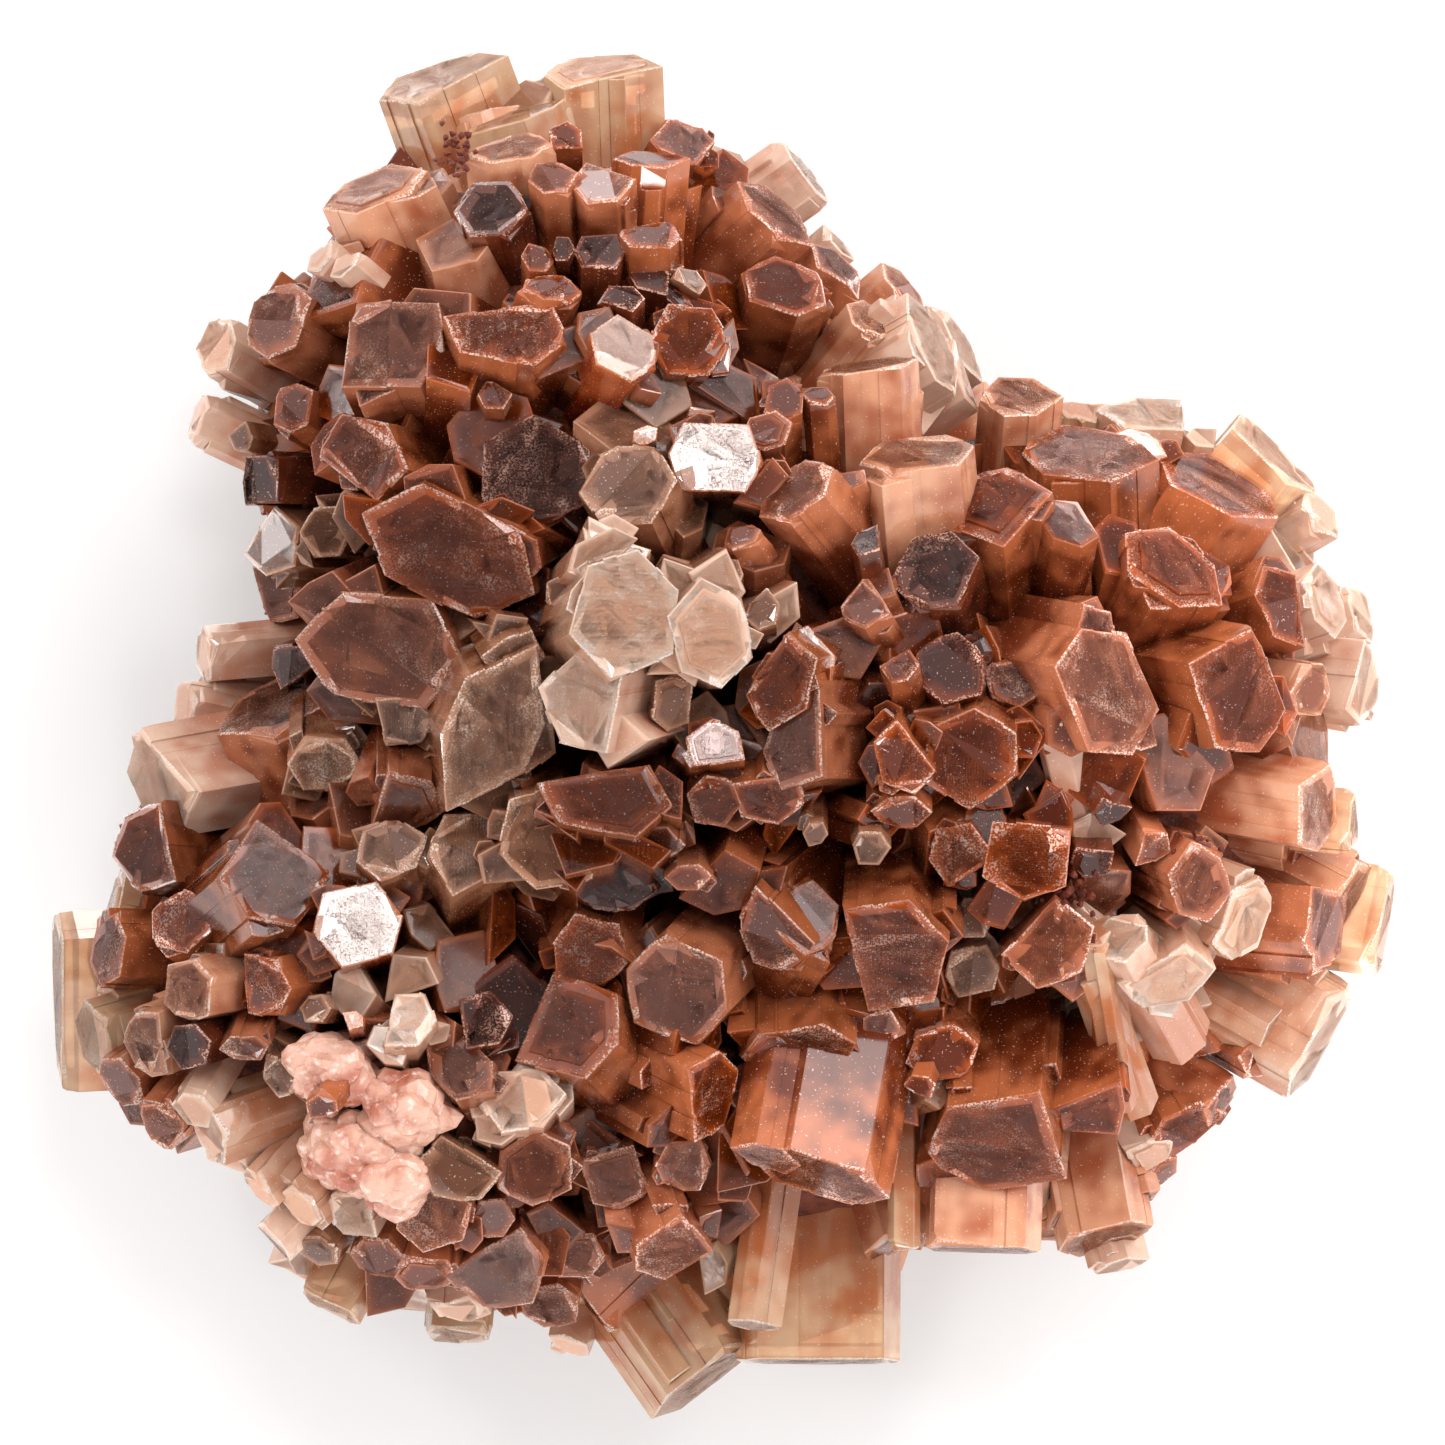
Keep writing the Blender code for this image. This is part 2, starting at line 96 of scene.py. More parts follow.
# Each crystal's flat end: across, down, half length, half width, turn, shoulder,
# the direction it leans to, its lean from straight up, its lift above the lobe in mm and its kind
UPPER_CRYSTALS = (
    (440, 74, 70, 52, 24, 0.55, 110, 70, 0, "a"), (603, 66, 58, 42, 2, 0.6, 92, 75, 0, "a"),
    (540, 84, 30, 25, 5, 0.5, 100, 72, -1, "p"), (510, 147, 42, 26, 5, 0.5, 95, 62, 0, "o"),
    (552, 177, 25, 21, 10, 0.5, 95, 50, 0, "m"), (603, 181, 31, 28, 0, 0.5, 92, 45, 0, "m"),
    (650, 158, 38, 26, -5, 0.5, 85, 70, 0, "r"), (652, 235, 32, 24, 0, 0.6, 90, 55, 0, "r"),
    (682, 141, 33, 24, 0, 0.4, 60, 30, 0, "r"), (490, 208, 36, 32, 60, 0.5, 105, 38, -1, "d"),
    (600, 252, 25, 22, 0, 0.7, 90, 40, -1, "d"), (655, 277, 30, 18, -10, 0.5, 90, 35, -1, "d"),
    (555, 288, 32, 20, 5, 0.5, 70, 50, 0, "r"), (505, 328, 62, 36, -12, 0.6, 85, 28, 1, "r"),
    (388, 347, 62, 44, -8, 0.65, 115, 28, 1, "m"), (277, 317, 40, 34, 78, 0.6, 155, 40, 1, "m"),
    (213, 343, 28, 26, 0, 0.5, 150, 50, 0, "p"), (375, 187, 50, 38, 26, 0.55, 115, 65, 0, "o"),
    (808, 170, 40, 30, -50, 0.55, 35, 75, 0, "p"), (775, 212, 44, 30, -42, 0.5, 42, 60, 0, "m"),
    (840, 268, 38, 28, -40, 0.5, 45, 70, 0, "m"), (905, 285, 34, 24, -50, 0.5, 40, 74, 0, "o"),
    (935, 345, 54, 34, -60, 0.5, 30, 66, 0, "p"), (785, 286, 44, 30, -25, 0.5, 70, 35, 0, "r"),
    (870, 318, 28, 22, -30, 0.5, 50, 60, 0, "o"), (625, 350, 38, 28, -25, 0.5, 60, 30, 1, "w"),
    (690, 343, 40, 36, -60, 0.5, 50, 15, 0, "r"), (360, 462, 54, 38, -10, 0.5, 160, 33, 1, "r"),
    (292, 407, 26, 20, 85, 0.7, 150, 30, 0, "r"), (193, 415, 28, 24, 66, 0.5, 155, 75, 0, "p"),
    (258, 480, 26, 24, 0, 0.8, 180, 45, 0, "d"), (325, 532, 28, 24, 60, 0.5, 180, 15, 0, "g"),
    (268, 540, 34, 32, 80, 0.6, 180, 40, 0, "g"), (270, 592, 34, 30, 80, 0.6, 190, 40, 0, "m"),
    (200, 655, 30, 26, 80, 0.6, 185, 70, 0, "p"), (290, 668, 26, 22, 10, 0.7, 200, 28, 0, "d"),
    (178, 706, 30, 24, 66, 0.5, 168, 60, 1, "p"), (960, 340, 42, 26, -60, 0.5, 28, 66, -2, "p"),
)
MIDDLE_CRYSTALS = (
    (450, 556, 90, 50, -25, 0.55, 215, 14, 2, "r"), (538, 474, 60, 46, -30, 0.5, 90, 10, 0, "d"),
    (630, 485, 48, 42, -60, 0.5, 115, 30, 1, "g"), (714, 460, 47, 34, -5, 0.65, 90, 5, 1, "w"),
    (382, 652, 88, 54, -5, 0.5, 215, 20, 2, "m"), (400, 722, 36, 24, 10, 0.5, 270, 20, 0, "g"),
    (627, 612, 64, 49, 78, 0.5, 30, 12, 4, "c"), (712, 635, 58, 38, -78, 0.5, 0, 10, 2, "c"),
    (590, 706, 54, 44, -15, 0.5, 190, 28, 2, "p"), (672, 702, 29, 18, 85, 0.7, 300, 15, 0, "g"),
    (495, 727, 90, 46, 63, 0.3, 300, 14, 2, "g"), (605, 793, 60, 38, -10, 0.6, 90, 14, 2, "r"),
    (652, 846, 34, 22, 0, 0.5, 270, 35, 0, "m"), (785, 400, 30, 18, 85, 0.6, 90, 40, 0, "r"),
    (768, 432, 28, 18, 20, 0.4, 90, 15, 0, "m"), (715, 748, 28, 26, -20, 0.5, 90, 12, 1, "r"),
    (714, 800, 26, 24, -10, 0.5, 270, 15, 0, "r"),
)
RIGHT_CRYSTALS = (
    (868, 366, 48, 30, 5, 0.6, 92, 78, 0, "o"), (918, 453, 58, 45, 10, 0.55, 95, 65, 0, "o"),
    (1020, 395, 40, 36, 0, 0.4, 85, 60, 0, "o"), (1003, 508, 62, 46, -35, 0.5, 95, 42, 2, "r"),
    (1085, 453, 66, 54, -8, 0.5, 92, 60, 0, "r"), (933, 572, 44, 34, 70, 0.6, 105, 25, 0, "d"),
    (795, 492, 42, 28, 35, 0.5, 130, 45, 0, "m"), (865, 602, 28, 24, 30, 0.5, 120, 30, 0, "m"),
    (868, 540, 25, 15, 70, 0.5, 100, 50, 0, "d"), (808, 656, 32, 19, -40, 0.6, 80, 8, 0, "w"),
    (778, 680, 46, 32, 80, 0.5, 200, 20, 1, "r"), (800, 735, 56, 34, 68, 0.5, 180, 25, 1, "m"),
    (948, 667, 38, 34, 20, 0.5, 100, 18, 0, "d"), (1012, 680, 30, 24, -20, 0.5, 90, 20, 0, "r"),
    (903, 757, 38, 28, -78, 0.5, 250, 12, 1, "r"), (970, 757, 52, 42, 30, 0.5, 260, 14, 2, "r"),
    (1105, 690, 70, 44, -65, 0.6, 350, 30, 2, "m"), (1155, 412, 52, 36, -5, 0.6, 80, 70, 0, "c"),
    (1085, 408, 28, 20, -10, 0.5, 85, 70, 0, "a"), (1140, 446, 32, 14, -20, 0.5, 92, 7, 0, "w"),
    (1270, 447, 64, 44, -38, 0.6, 50, 75, 0, "a"), (1326, 510, 30, 24, -60, 0.5, 30, 62, 0, "p"),
    (1172, 568, 60, 34, -38, 0.5, 60, 38, 1, "r"), (1285, 605, 42, 30, -65, 0.5, 20, 40, 1, "r"),
    (1235, 685, 74, 42, -65, 0.6, 350, 33, 2, "r"), (1312, 690, 30, 26, 60, 0.5, 350, 50, 0, "o"),
    (1328, 600, 38, 28, -80, 0.5, 20, 60, 0, "p"), (1366, 612, 31, 24, -70, 0.5, 15, 70, 0, "p"),
    (1366, 685, 40, 32, -85, 0.5, 355, 60, 0, "p"), (1028, 853, 51, 40, 85, 0.5, 270, 5, 2, "r"),
    (957, 855, 32, 26, 70, 0.5, 260, 15, 1, "r"), (1045, 942, 44, 40, 80, 0.5, 280, 10, 2, "m"),
    (1199, 884, 42, 30, -75, 0.5, 330, 25, 2, "m"), (1163, 977, 48, 36, 10, 0.5, 290, 35, 2, "c"),
    (1120, 935, 30, 24, 40, 0.5, 120, 30, 1, "p"), (1245, 920, 45, 34, 80, 0.6, 340, 50, 0, "c"),
    (1328, 920, 52, 40, 82, 0.55, 355, 62, 1, "m"), (1388, 924, 57, 38, 82, 0.7, 352, 80, 0, "a"),
    (1356, 822, 33, 28, 88, 0.6, 355, 80, 0, "a"), (1318, 805, 50, 40, -80, 0.6, 350, 68, 0, "o"),
    (1324, 1043, 60, 40, 61, 0.7, 330, 78, 0, "c"), (1270, 1048, 37, 28, 70, 0.5, 330, 42, 1, "m"),
    (1190, 1136, 42, 32, 20, 0.5, 300, 45, 0, "r"), (1226, 1104, 30, 24, 70, 0.5, 330, 70, 0, "m"),
    (1165, 1180, 24, 18, 55, 0.5, 315, 62, -2, "m"), (900, 812, 28, 18, 0, 0.5, 270, 30, 0, "r"),
    (768, 795, 40, 30, -15, 0.5, 270, 30, 0, "r"),
)
BOTTOM_CRYSTALS = (
    (886, 957, 60, 54, 72, 0.55, 265, 24, 3, "r"), (775, 930, 46, 34, -70, 0.5, 230, 30, 1, "r"),
    (808, 915, 44, 28, 80, 0.5, 60, 30, 0, "r"), (972, 972, 28, 24, 10, 0.6, 270, 15, 0, "g"),
    (677, 990, 57, 48, -20, 0.55, 225, 28, 2, "m"), (590, 953, 38, 33, -15, 0.6, 270, 20, 0, "r"),
    (610, 885, 46, 28, -10, 0.5, 270, 25, -2, "d"), (567, 1025, 56, 44, -18, 0.6, 135, 28, 1, "r"),
    (708, 1095, 48, 34, 80, 0.6, 335, 44, 2, "r"), (800, 1052, 60, 32, 15, 0.5, 270, 42, 0, "r"),
    (884, 1025, 24, 18, 30, 0.5, 270, 20, 0, "m"), (942, 1053, 37, 26, 15, 0.5, 270, 15, 0, "r"),
    (820, 1175, 68, 42, -16, 0.6, 260, 66, 2, "r"), (1008, 1142, 88, 56, 14, 0.5, 265, 40, 2, "r"),
    (819, 1365, 80, 52, 0, 0.8, 270, 86, 0, "a"), (752, 1326, 30, 24, 20, 0.5, 262, 80, 2, "a"),
    (904, 1250, 16, 16, 0, 0.6, 270, 84, -2, "a"), (979, 1250, 56, 38, -3, 0.8, 268, 84, 0, "o"),
    (1107, 1242, 50, 36, 15, 0.6, 280, 68, 0, "o"), (1122, 1272, 30, 22, 20, 0.5, 285, 68, -2, "p"),
    (705, 1382, 62, 46, 36, 0.6, 305, 74, 1, "a"), (676, 1248, 46, 32, 36, 0.6, 290, 45, 2, "m"),
)
LOWER_LEFT_CRYSTALS = (
    (158, 782, 58, 46, -62, 0.55, 190, 60, 2, "p"), (325, 765, 34, 24, 0, 0.6, 270, 15, 0, "g"),
    (148, 848, 44, 38, -45, 0.6, 175, 32, 0, "r"), (278, 872, 58, 44, 55, 0.6, 40, 28, 1, "r"),
    (392, 848, 38, 28, 20, 0.5, 90, 20, 1, "g"), (475, 855, 50, 36, -60, 0.5, 80, 20, 1, "g"),
    (550, 838, 52, 46, 75, 0.5, 270, 8, 2, "g"), (402, 803, 42, 30, -15, 0.5, 270, 30, 1, "m"),
    (360, 922, 48, 36, 12, 0.5, 81, 8, 1, "w"), (105, 950, 40, 36, 80, 0.5, 178, 60, 0, "r"),
    (182, 920, 40, 30, -20, 0.5, 150, 35, 0, "r"), (190, 990, 32, 28, 80, 0.6, 190, 45, 2, "o"),
    (262, 985, 34, 30, 60, 0.5, 190, 35, 0, "r"), (55, 1000, 86, 42, 84, 0.8, 183, 82, 0, "a"),
    (92, 1040, 38, 30, -80, 0.5, 195, 60, 1, "a"), (120, 1082, 30, 26, -40, 0.5, 215, 50, 1, "m"),
    (150, 1045, 40, 30, 60, 0.5, 205, 50, 2, "o"), (163, 1127, 27, 24, 20, 0.5, 230, 40, 1, "m"),
    (196, 1110, 24, 20, 60, 0.5, 240, 50, 1, "p"), (210, 1132, 34, 28, 65, 0.6, 200, 66, 0, "c"),
    (283, 1072, 26, 22, 80, 0.5, 200, 30, 0, "g"), (264, 1192, 26, 20, 40, 0.5, 225, 60, 0, "c"),
    (299, 1208, 28, 22, 40, 0.5, 225, 55, 0, "c"), (408, 1017, 32, 26, 55, 0.5, 90, 15, 1, "c"),
    (460, 1063, 42, 27, -40, 0.5, 120, 18, 0, "m"), (480, 1020, 32, 26, 10, 0.5, 90, 15, 0, "d"),
    (522, 1097, 42, 28, 5, 0.5, 90, 12, 1, "p"), (613, 1175, 40, 28, -75, 0.6, 270, 14, 1, "m"),
    (535, 1168, 40, 34, -30, 0.5, 270, 12, 1, "m"), (684, 1167, 28, 26, 0, 0.6, 270, 20, 0, "m"),
    (461, 1167, 42, 32, -5, 0.5, 270, 10, 1, "g"), (433, 1215, 40, 33, 20, 0.5, 250, 18, 1, "m"),
    (355, 1213, 36, 24, 5, 0.5, 240, 40, 0, "p"), (378, 1257, 27, 24, 0, 0.5, 250, 40, 0, "m"),
    (424, 1275, 32, 24, -5, 0.6, 265, 50, 0, "m"), (500, 1268, 52, 38, 10, 0.5, 270, 22, 1, "m"),
    (577, 1257, 30, 24, 0, 0.5, 280, 20, 0, "m"), (550, 1308, 34, 28, 20, 0.5, 270, 40, 0, "m"),
    (566, 1350, 24, 18, 30, 0.5, 250, 60, 0, "c"), (458, 1338, 34, 26, -2, 0.7, 265, 76, 0, "a"),
    (330, 1308, 32, 26, -28, 0.6, 242, 72, 0, "a"), (275, 1243, 30, 24, 40, 0.5, 225, 76, 0, "p"),
)

# The small crystals between them, in the same terms
SMALL_CRYSTALS = (
    (567, 138, 19, 16, 90, 0.6, 90, 35, 0, "r"), (563, 250, 12, 12, 0, 0.5, 90, 20, 0, "d"),
    (538, 258, 17, 15, 0, 0.5, 90, 30, 0, "r"), (690, 283, 20, 16, 60, 0.3, 45, 20, 0, "g"),
    (318, 255, 22, 16, 40, 0.5, 150, 70, 0, "p"), (345, 262, 20, 16, 30, 0.5, 140, 60, 0, "p"),
    (840, 240, 24, 18, -55, 0.5, 40, 75, 0, "p"), (622, 300, 22, 15, 0, 0.5, 90, 35, 0, "d"),
    (238, 435, 18, 13, -60, 0.5, 170, 30, 0, "g"), (560, 596, 20, 14, 80, 0.5, 180, 15, 0, "g"),
    (722, 575, 20, 17, 0, 0.7, 90, 20, 0, "g"), (495, 395, 17, 16, 0, 0.5, 90, 20, 0, "r"),
    (818, 395, 17, 14, 0, 0.5, 95, 65, 0, "r"), (740, 535, 22, 14, 20, 0.5, 120, 40, 0, "m"),
    (762, 612, 22, 15, 80, 0.5, 90, 15, 0, "g"), (898, 665, 20, 18, 0, 0.5, 100, 35, 0, "r"),
    (1050, 714, 22, 18, 0, 0.5, 105, 60, 0, "p"), (973, 918, 22, 20, 0, 0.5, 270, 10, 0, "g"),
    (868, 848, 20, 18, 0, 0.5, 270, 20, 0, "g"), (815, 834, 13, 12, 0, 0.5, 270, 20, 0, "g"),
    (962, 1100, 18, 16, 0, 0.5, 270, 40, 0, "r"), (920, 1086, 16, 14, 0, 0.5, 250, 40, 0, "r"),
    (688, 877, 25, 13, 0, 0.4, 270, 20, 0, "m"), (316, 1007, 18, 14, 0, 0.5, 180, 15, 0, "g"),
    (492, 1218, 23, 20, 0, 0.5, 270, 15, 0, "m"), (456, 1310, 30, 22, 0, 0.5, 265, 60, 0, "p"),
    (318, 1252, 24, 18, 20, 0.5, 235, 50, 0, "g"), (190, 1045, 26, 20, 10, 0.5, 200, 30, 2, "d"),
    (247, 1048, 26, 13, 5, 0.5, 250, 30, 1, "m"), (324, 1108, 22, 14, 40, 0.5, 240, 40, 3, "r"),
    (1095, 930, 26, 16, 60, 0.5, 100, 45, 0, "a"), (1086, 968, 22, 16, 20, 0.5, 110, 40, 0, "a"),
    (1150, 1160, 30, 20, 30, 0.5, 300, 55, 0, "p"), (1110, 812, 20, 16, 10, 0.5, 290, 40, 0, "d"),
    (1150, 850, 22, 17, 50, 0.5, 300, 30, 0, "m"), (1090, 860, 24, 18, 20, 0.5, 280, 25, 0, "d"),
    (355, 1017, 14, 9, 20, 0.5, 100, 6.5, 4, "w"), (645, 437, 15, 9, 30, 0.5, 100, 6.5, 2, "w"),
    (700, 415, 15, 8, 10, 0.5, 100, 6.5, 1, "w"),
)

LARGE_CRYSTALS = UPPER_CRYSTALS + MIDDLE_CRYSTALS + RIGHT_CRYSTALS + BOTTOM_CRYSTALS + LOWER_LEFT_CRYSTALS

# The pale lump of fine crystals at the lower left: across, down, height, half length,
# half width and half depth, all in steps but the height, which is in mm
PALE_LUMP = (
    (334, 1070, 44.5, 42, 36, 70), (365, 1148, 43.5, 68, 48, 80),
    (408, 1108, 45, 38, 36, 70), (396, 1176, 43.5, 30, 30, 60),
)
SUGAR_COUNT = 34
SUGAR_SIZES = (0.75, 1.35)
SUGAR_REACH = (0.72, 0.82)
SUGAR_DROP = 1.7
SUGAR_SHAPE = (1, 0.8, 1.2)
SUGAR_LUMPS = (900, 0.3)
SUGAR_TURN = 6
LUMP_FILLING = 0.88

# Crumbs of clay caught between the crystals: across, down, lift in mm, size in mm and count
CLAY = ((1077, 893, 0.8, 0.38, 40), (455, 150, 1.4, 0.34, 34), (1190, 850, 0.8, 0.3, 18))
CLAY_SPREAD = 11
CLAY_SINK = 1.2
CLAY_SIZES = (0.35, 0.9)
CLAY_LUMPS = (0.6, 1.2)

# The mass at the roots, how deep it lies in each lobe in mm, and its lumps
ROOT_DEPTHS = (6.5, 6, 6.5, 9.5, 6)
ROOT_LUMPS = ((260, 0.05), (900, 0.02))

# The finer make of a crystal: cut corners, ridges along the sides, a bevel round the end.
# From here on a pair is the least and the most that chance gives, as a share or in mm
CORNER_CUT = 0.05 * MM
CUT_SHARE = 0.1
STRIP = 1.0 * MM
MOST_STRIPS = 4
ALONG_A_SIDE = (0.2, 0.8)
RIDGE = 0.035
WIDEST_RIDGED = 2.2 * MM
CAP_BEVEL = 0.09 * MM
SMALL_BEVEL = 0.08
SIDE_BANDS = (0.45, 0.15, 0.05)
SMALL_SIDE_BANDS = (0.3,)
FACING_WANDER = 0.09
FACING_GROWTH = 1.05
FIVE_CORNERED = 0.35
SLOPE = 0.1

# The bands round an end: how many bevels down the first is, then the size of each band and
# how near the rim its colour is, which paints shade in the middle of the end and light at its rim, and how
# much of the rim's colour the edge takes
BEVEL_START = 2.2
SIDE_TOP = (1.0, 0.7)
BEVEL_SIDE = 0.9
OUTER_BAND = (0.82, 0.6)
STEP_FOOT = (0.74, 0.35)
STEP_HEAD = (0.72, 0.7)
INNER_BAND = (0.5, 0.0)
FULL_RIM = 1.0
SMALL_RIM = 0.82

# The step on a few of the ends, and the chips out of their edges
STEPPED = 0.1
STEPPED_FROM = 1.8 * MM
STEP_SHIFT = 0.12
STEP_RISE = (0.08, 0.2)
CHIP_COUNTS = (2, 3, 4, 6)
CHIP_INSET = (0.0, 0.0, 0.04)
CHIP_REACH = (0.25, 0.7)
CHIP_DEPTH = (0.08, 0.4)
CHIP_BELOW = 2
CHIP_INWARD = 0.5

# The thinner crystals grown along the sides of a crystal
SHOOTS_FROM = 1.6 * MM
SHOOT_COUNTS = (0, 1, 2, 2, 3)
SMALL_SHOOT_COUNTS = (0, 0, 1)
SHOOT_SIZES = (0.22, 0.46)
THINNEST_SHOOT = 0.7 * MM
SHOOT_INSET = (0.2, 0.6)
SHOOT_TOPS = (0.2, 0.6, 1.4, 3.0)
SHOOT_TOP_WANDER = (0.7, 1.3)

# Small crystals, and what is grown on them or chipped off
SMALL_WANDER = 0.2
SMALL_WIDTHS = (0.55, 0.95)
SMALL_SHOULDERS = (0.3, 0.8)
CORNERS_LOST = (0, 1, 1, 2)
SMALL_SLOPE = 0.3
TWIN_SIZES = (0.35, 0.7)
TWIN_SHIFT = (0.5, 0.85)
TWIN_TOPS = (0.3, 1.6)
SMALL_CHIP_REACH = (0.3, 0.6)
SMALL_CHIP_DEPTH = (0.1, 0.35)

# The crystals beside the larger ones
BESIDE_COUNT = 4
BESIDE_COUNT_SMALL = 2
BESIDE_SMALL_UNDER = 34
BESIDE_REACH = (0.8, 1.1)
BESIDE_DROP = (0.6, 2.8)
BESIDE_SIZES = (0.4, 0.7)
BESIDE_LEAST = 1.1 * MM
BESIDE_MOST = 2.6 * MM
BESIDE_HIGHEST = 0.25
BESIDE_TILT = 0.2
BESIDE_LENGTH = 9 * MM

# The crystals that fill the gaps between them
FILL_COUNT = 270
FILL_DROP = 1.65
FILL_DEPTH = (0.8, 2.9)
FILL_SIZES = (1.6, 3.2)
FILL_BURIED = 5
FILL_TILT = 0.3
FILL_SINK = 0.1
FILL_LENGTH = 6 * MM
FILL_STEP_IN = 0.04
NEAREST = 4

# Crystals that lean further than the first of these, in degrees, have a side that stays bare.
# Those that lean less than the second show no side, and the others show this share of it
BARE_FROM = 78
SIDE_SHOWN_FROM = 24
SIDE_SHOWN = 0.45

# How the colour of a crystal follows its place and its turn, which is painted light and shade: lighter to the
# right, darker towards the bottom, darker near the middle and lighter outwards, and lighter where it is
# turned aside, as painted light through the thin outer crystals; and how far it wanders by chance
TONE_WANDER = 0.18
PAINTED_LIGHT_ACROSS = 7
PAINTED_SHADE_DOWN = 2.5
PAINTED_LIGHT_OUTWARD = 9
PAINTED_LIGHT_MIDDLE = 0.03
PAINTED_LIGHT_TURNED = 0.15
GRAIN_SHIFT = 90

# The kinds: red-brown, dark, mauve-ended, orange, amber, pale, grey, clear and bright-ended, whose pale ends
# are a painted reflection of the light they face. What colour each shows: the middle and rim of its end,
# darker in the middle as painted shade and lighter at the rim as painted light, its side by the end, lighter
# as painted light, and further down, darker as painted shade between the crystals, and its edges, pale chips
# with painted glints, as red, green and blue out of 255
COLOURS = {
    "r": ((104, 55, 43), (186, 108, 82), (202, 131, 104), (112, 61, 48), (255, 228, 214)),
    "d": ((62, 34, 29), (114, 65, 53), (126, 74, 60), (68, 37, 31), (240, 198, 180)),
    "m": ((120, 75, 64), (192, 126, 103), (212, 144, 118), (132, 76, 61), (255, 228, 214)),
    "o": ((150, 87, 64), (226, 156, 122), (246, 182, 148), (190, 112, 84), (255, 236, 220)),
    "a": ((220, 154, 120), (252, 200, 162), (255, 208, 170), (226, 146, 106), (255, 246, 232)),
    "p": ((228, 178, 152), (252, 214, 190), (252, 212, 188), (222, 158, 132), (255, 246, 238)),
    "g": ((122, 87, 73), (200, 154, 131), (200, 149, 124), (132, 82, 64), (255, 236, 220)),
    "c": ((238, 184, 154), (255, 220, 198), (240, 192, 164), (212, 144, 112), (255, 250, 244)),
    # The pale ends of the bright-ended kind are a painted reflection of the light they face, besides their
    # real shine
    "w": ((214, 176, 162), (226, 184, 167), (204, 128, 100), (142, 68, 48), (254, 226, 210)),
}
# The pale streaks along the sides of some kinds: their colour, how strong they are, and how
# strong the red stains between them are
STREAKS = {
    "o": ((255, 212, 178), 0.2, 0.2), "a": ((255, 232, 204), 0.24, 0.22),
    "p": ((255, 232, 214), 0.2, 0.12), "c": ((250, 228, 208), 0.25, 0.1),
}
STAIN = (190, 104, 72)
# How strongly the tiny painted glints show
PAINTED_GLINT_SPECKS = 0.6
# How much richer the colours are made, for most kinds and for the pale ones
RICHER = 1.18
PALE_RICHER = 1.07
PALE_KINDS = "oapc"
# The kinds that bear nothing on their sides, so that their flat ends show whole
STANDING_KINDS = "wd"
# The kinds whose tone, with its painted light and shade, is held nearer the same: how much of it counts, and
# what is added
EVEN_KINDS = "pcg"
EVEN_TONE = (0.5, 0.56)
# How much light each kind lets through, and how rough its faces are
FINISHES = {
    "r": (0.32, 0.12), "d": (0.2, 0.14), "m": (0.3, 0.18), "o": (0.38, 0.12), "a": (0.5, 0.08),
    "p": (0.35, 0.14), "g": (0.36, 0.12), "c": (0.36, 0.08), "w": (0.15, 0.12),
}
LIGHT_BENDING = 1.6
SHINE = 0.4
BRIGHT_SHINE = 0.8
# The scales of the patterns, and where each change of colour or finish starts and ends
CLOUD_SCALE = 0.5
FINE_SCALE = 8.0
PATTERN_ROUGHNESS = 0.55
LINE_STRETCH = (0.8, 0.8, 0.14)
# Where the end turns from painted shade in its middle to painted light at its rim, and the side from painted
# light by the end to painted shade further down
SHADE_TO_RIM_LIGHT = (0.12, 1.05)
SIDE_LIGHT_TO_SHADE = (-0.1, 0.42)
END_TO_SIDE = (0.1, 0.6)
STREAK_LINES = (0.5, 0.7)
STAIN_LINES = (0.52, 0.3)
BROKEN_BITS = (0.44, 0.56)
BROKEN_PATCHES = (0.38, 0.6, 0.1, 0.85)
# Where the pale chipped edges with their painted glints line the rim, and where the tiny painted glint dots
# show
EDGE_GLINT_LINE = (0.88, 1.0)
GLINT_SPECK_DOTS = (0.75, 0.8)
WORN_SPOTS = (0.58, 0.74)
WORN_ROUGHNESS = 0.4
# The rough stones: their darker, lighter and palest colours, the scale of their mottle,
# their shine, and their least and most roughness
ROOT_STONE = ((70, 34, 26), (118, 60, 44), (164, 98, 76), 1.4, 0.15, (0.35, 0.75))
PALE_STONE = ((178, 100, 76), (222, 172, 150), (244, 222, 210), 0.3, 0.6, (0.12, 0.4))
CLAY_STONE = ((72, 30, 22), (116, 52, 36), (156, 84, 60), 2.5, 0.2, (0.35, 0.75))
GRIT_SCALE = 6
MOTTLE_CHANGE = (0.34, 0.58)
PALE_SPOTS = (0.56, 0.7, 0, 0.7)
ROUGH_CHANGE = (0.3, 0.7)
STONE_BUMP = (0.4, 0.00015)

# The studio, in metres
FLOOR_SIZE = 2
FLOOR_DROP = 0.0001
FLOOR_COLOUR = (0.97, 0.97, 0.97, 1)
FLOOR_ROUGHNESS = 0.9
SKY_EDGE = (0.72, 0.95)
SKY_STRENGTHS = (1.47, 0.15)
AIMED_AT = (0, 0, 0.03)
# Each light's name, place, width, height and power
LIGHTS = (
    ("large soft light", (0.42, 0.5, 0.62), 0.5, 0.5, 3.0),
    ("glint light 0", (0.3, 0.12, 0.45), 0.05, 0.05, 0.25),
    ("glint light 1", (-0.28, 0.2, 0.45), 0.05, 0.05, 0.25),
    ("glint light 2", (-0.12, -0.3, 0.45), 0.05, 0.05, 0.25),
    ("small bright light", (0.0, 0.122, 0.53), 0.07, 0.06, 0.3),
)
CAMERA_PLACE = (-0.06 * MM, 0.55 * MM, 1.96)
CAMERA_LENS = 800
CAMERA_SENSOR = 36
CAMERA_REACH = 10
BOUNCES = 2

NAMES = {
    "r": "red_brown_crystals", "d": "dark_crystals", "m": "mauve_ended_crystals",
    "o": "orange_crystals", "a": "amber_crystals", "p": "pale_crystals",
    "g": "grey_crystals", "c": "clear_crystals", "w": "bright_ended_crystals",
}


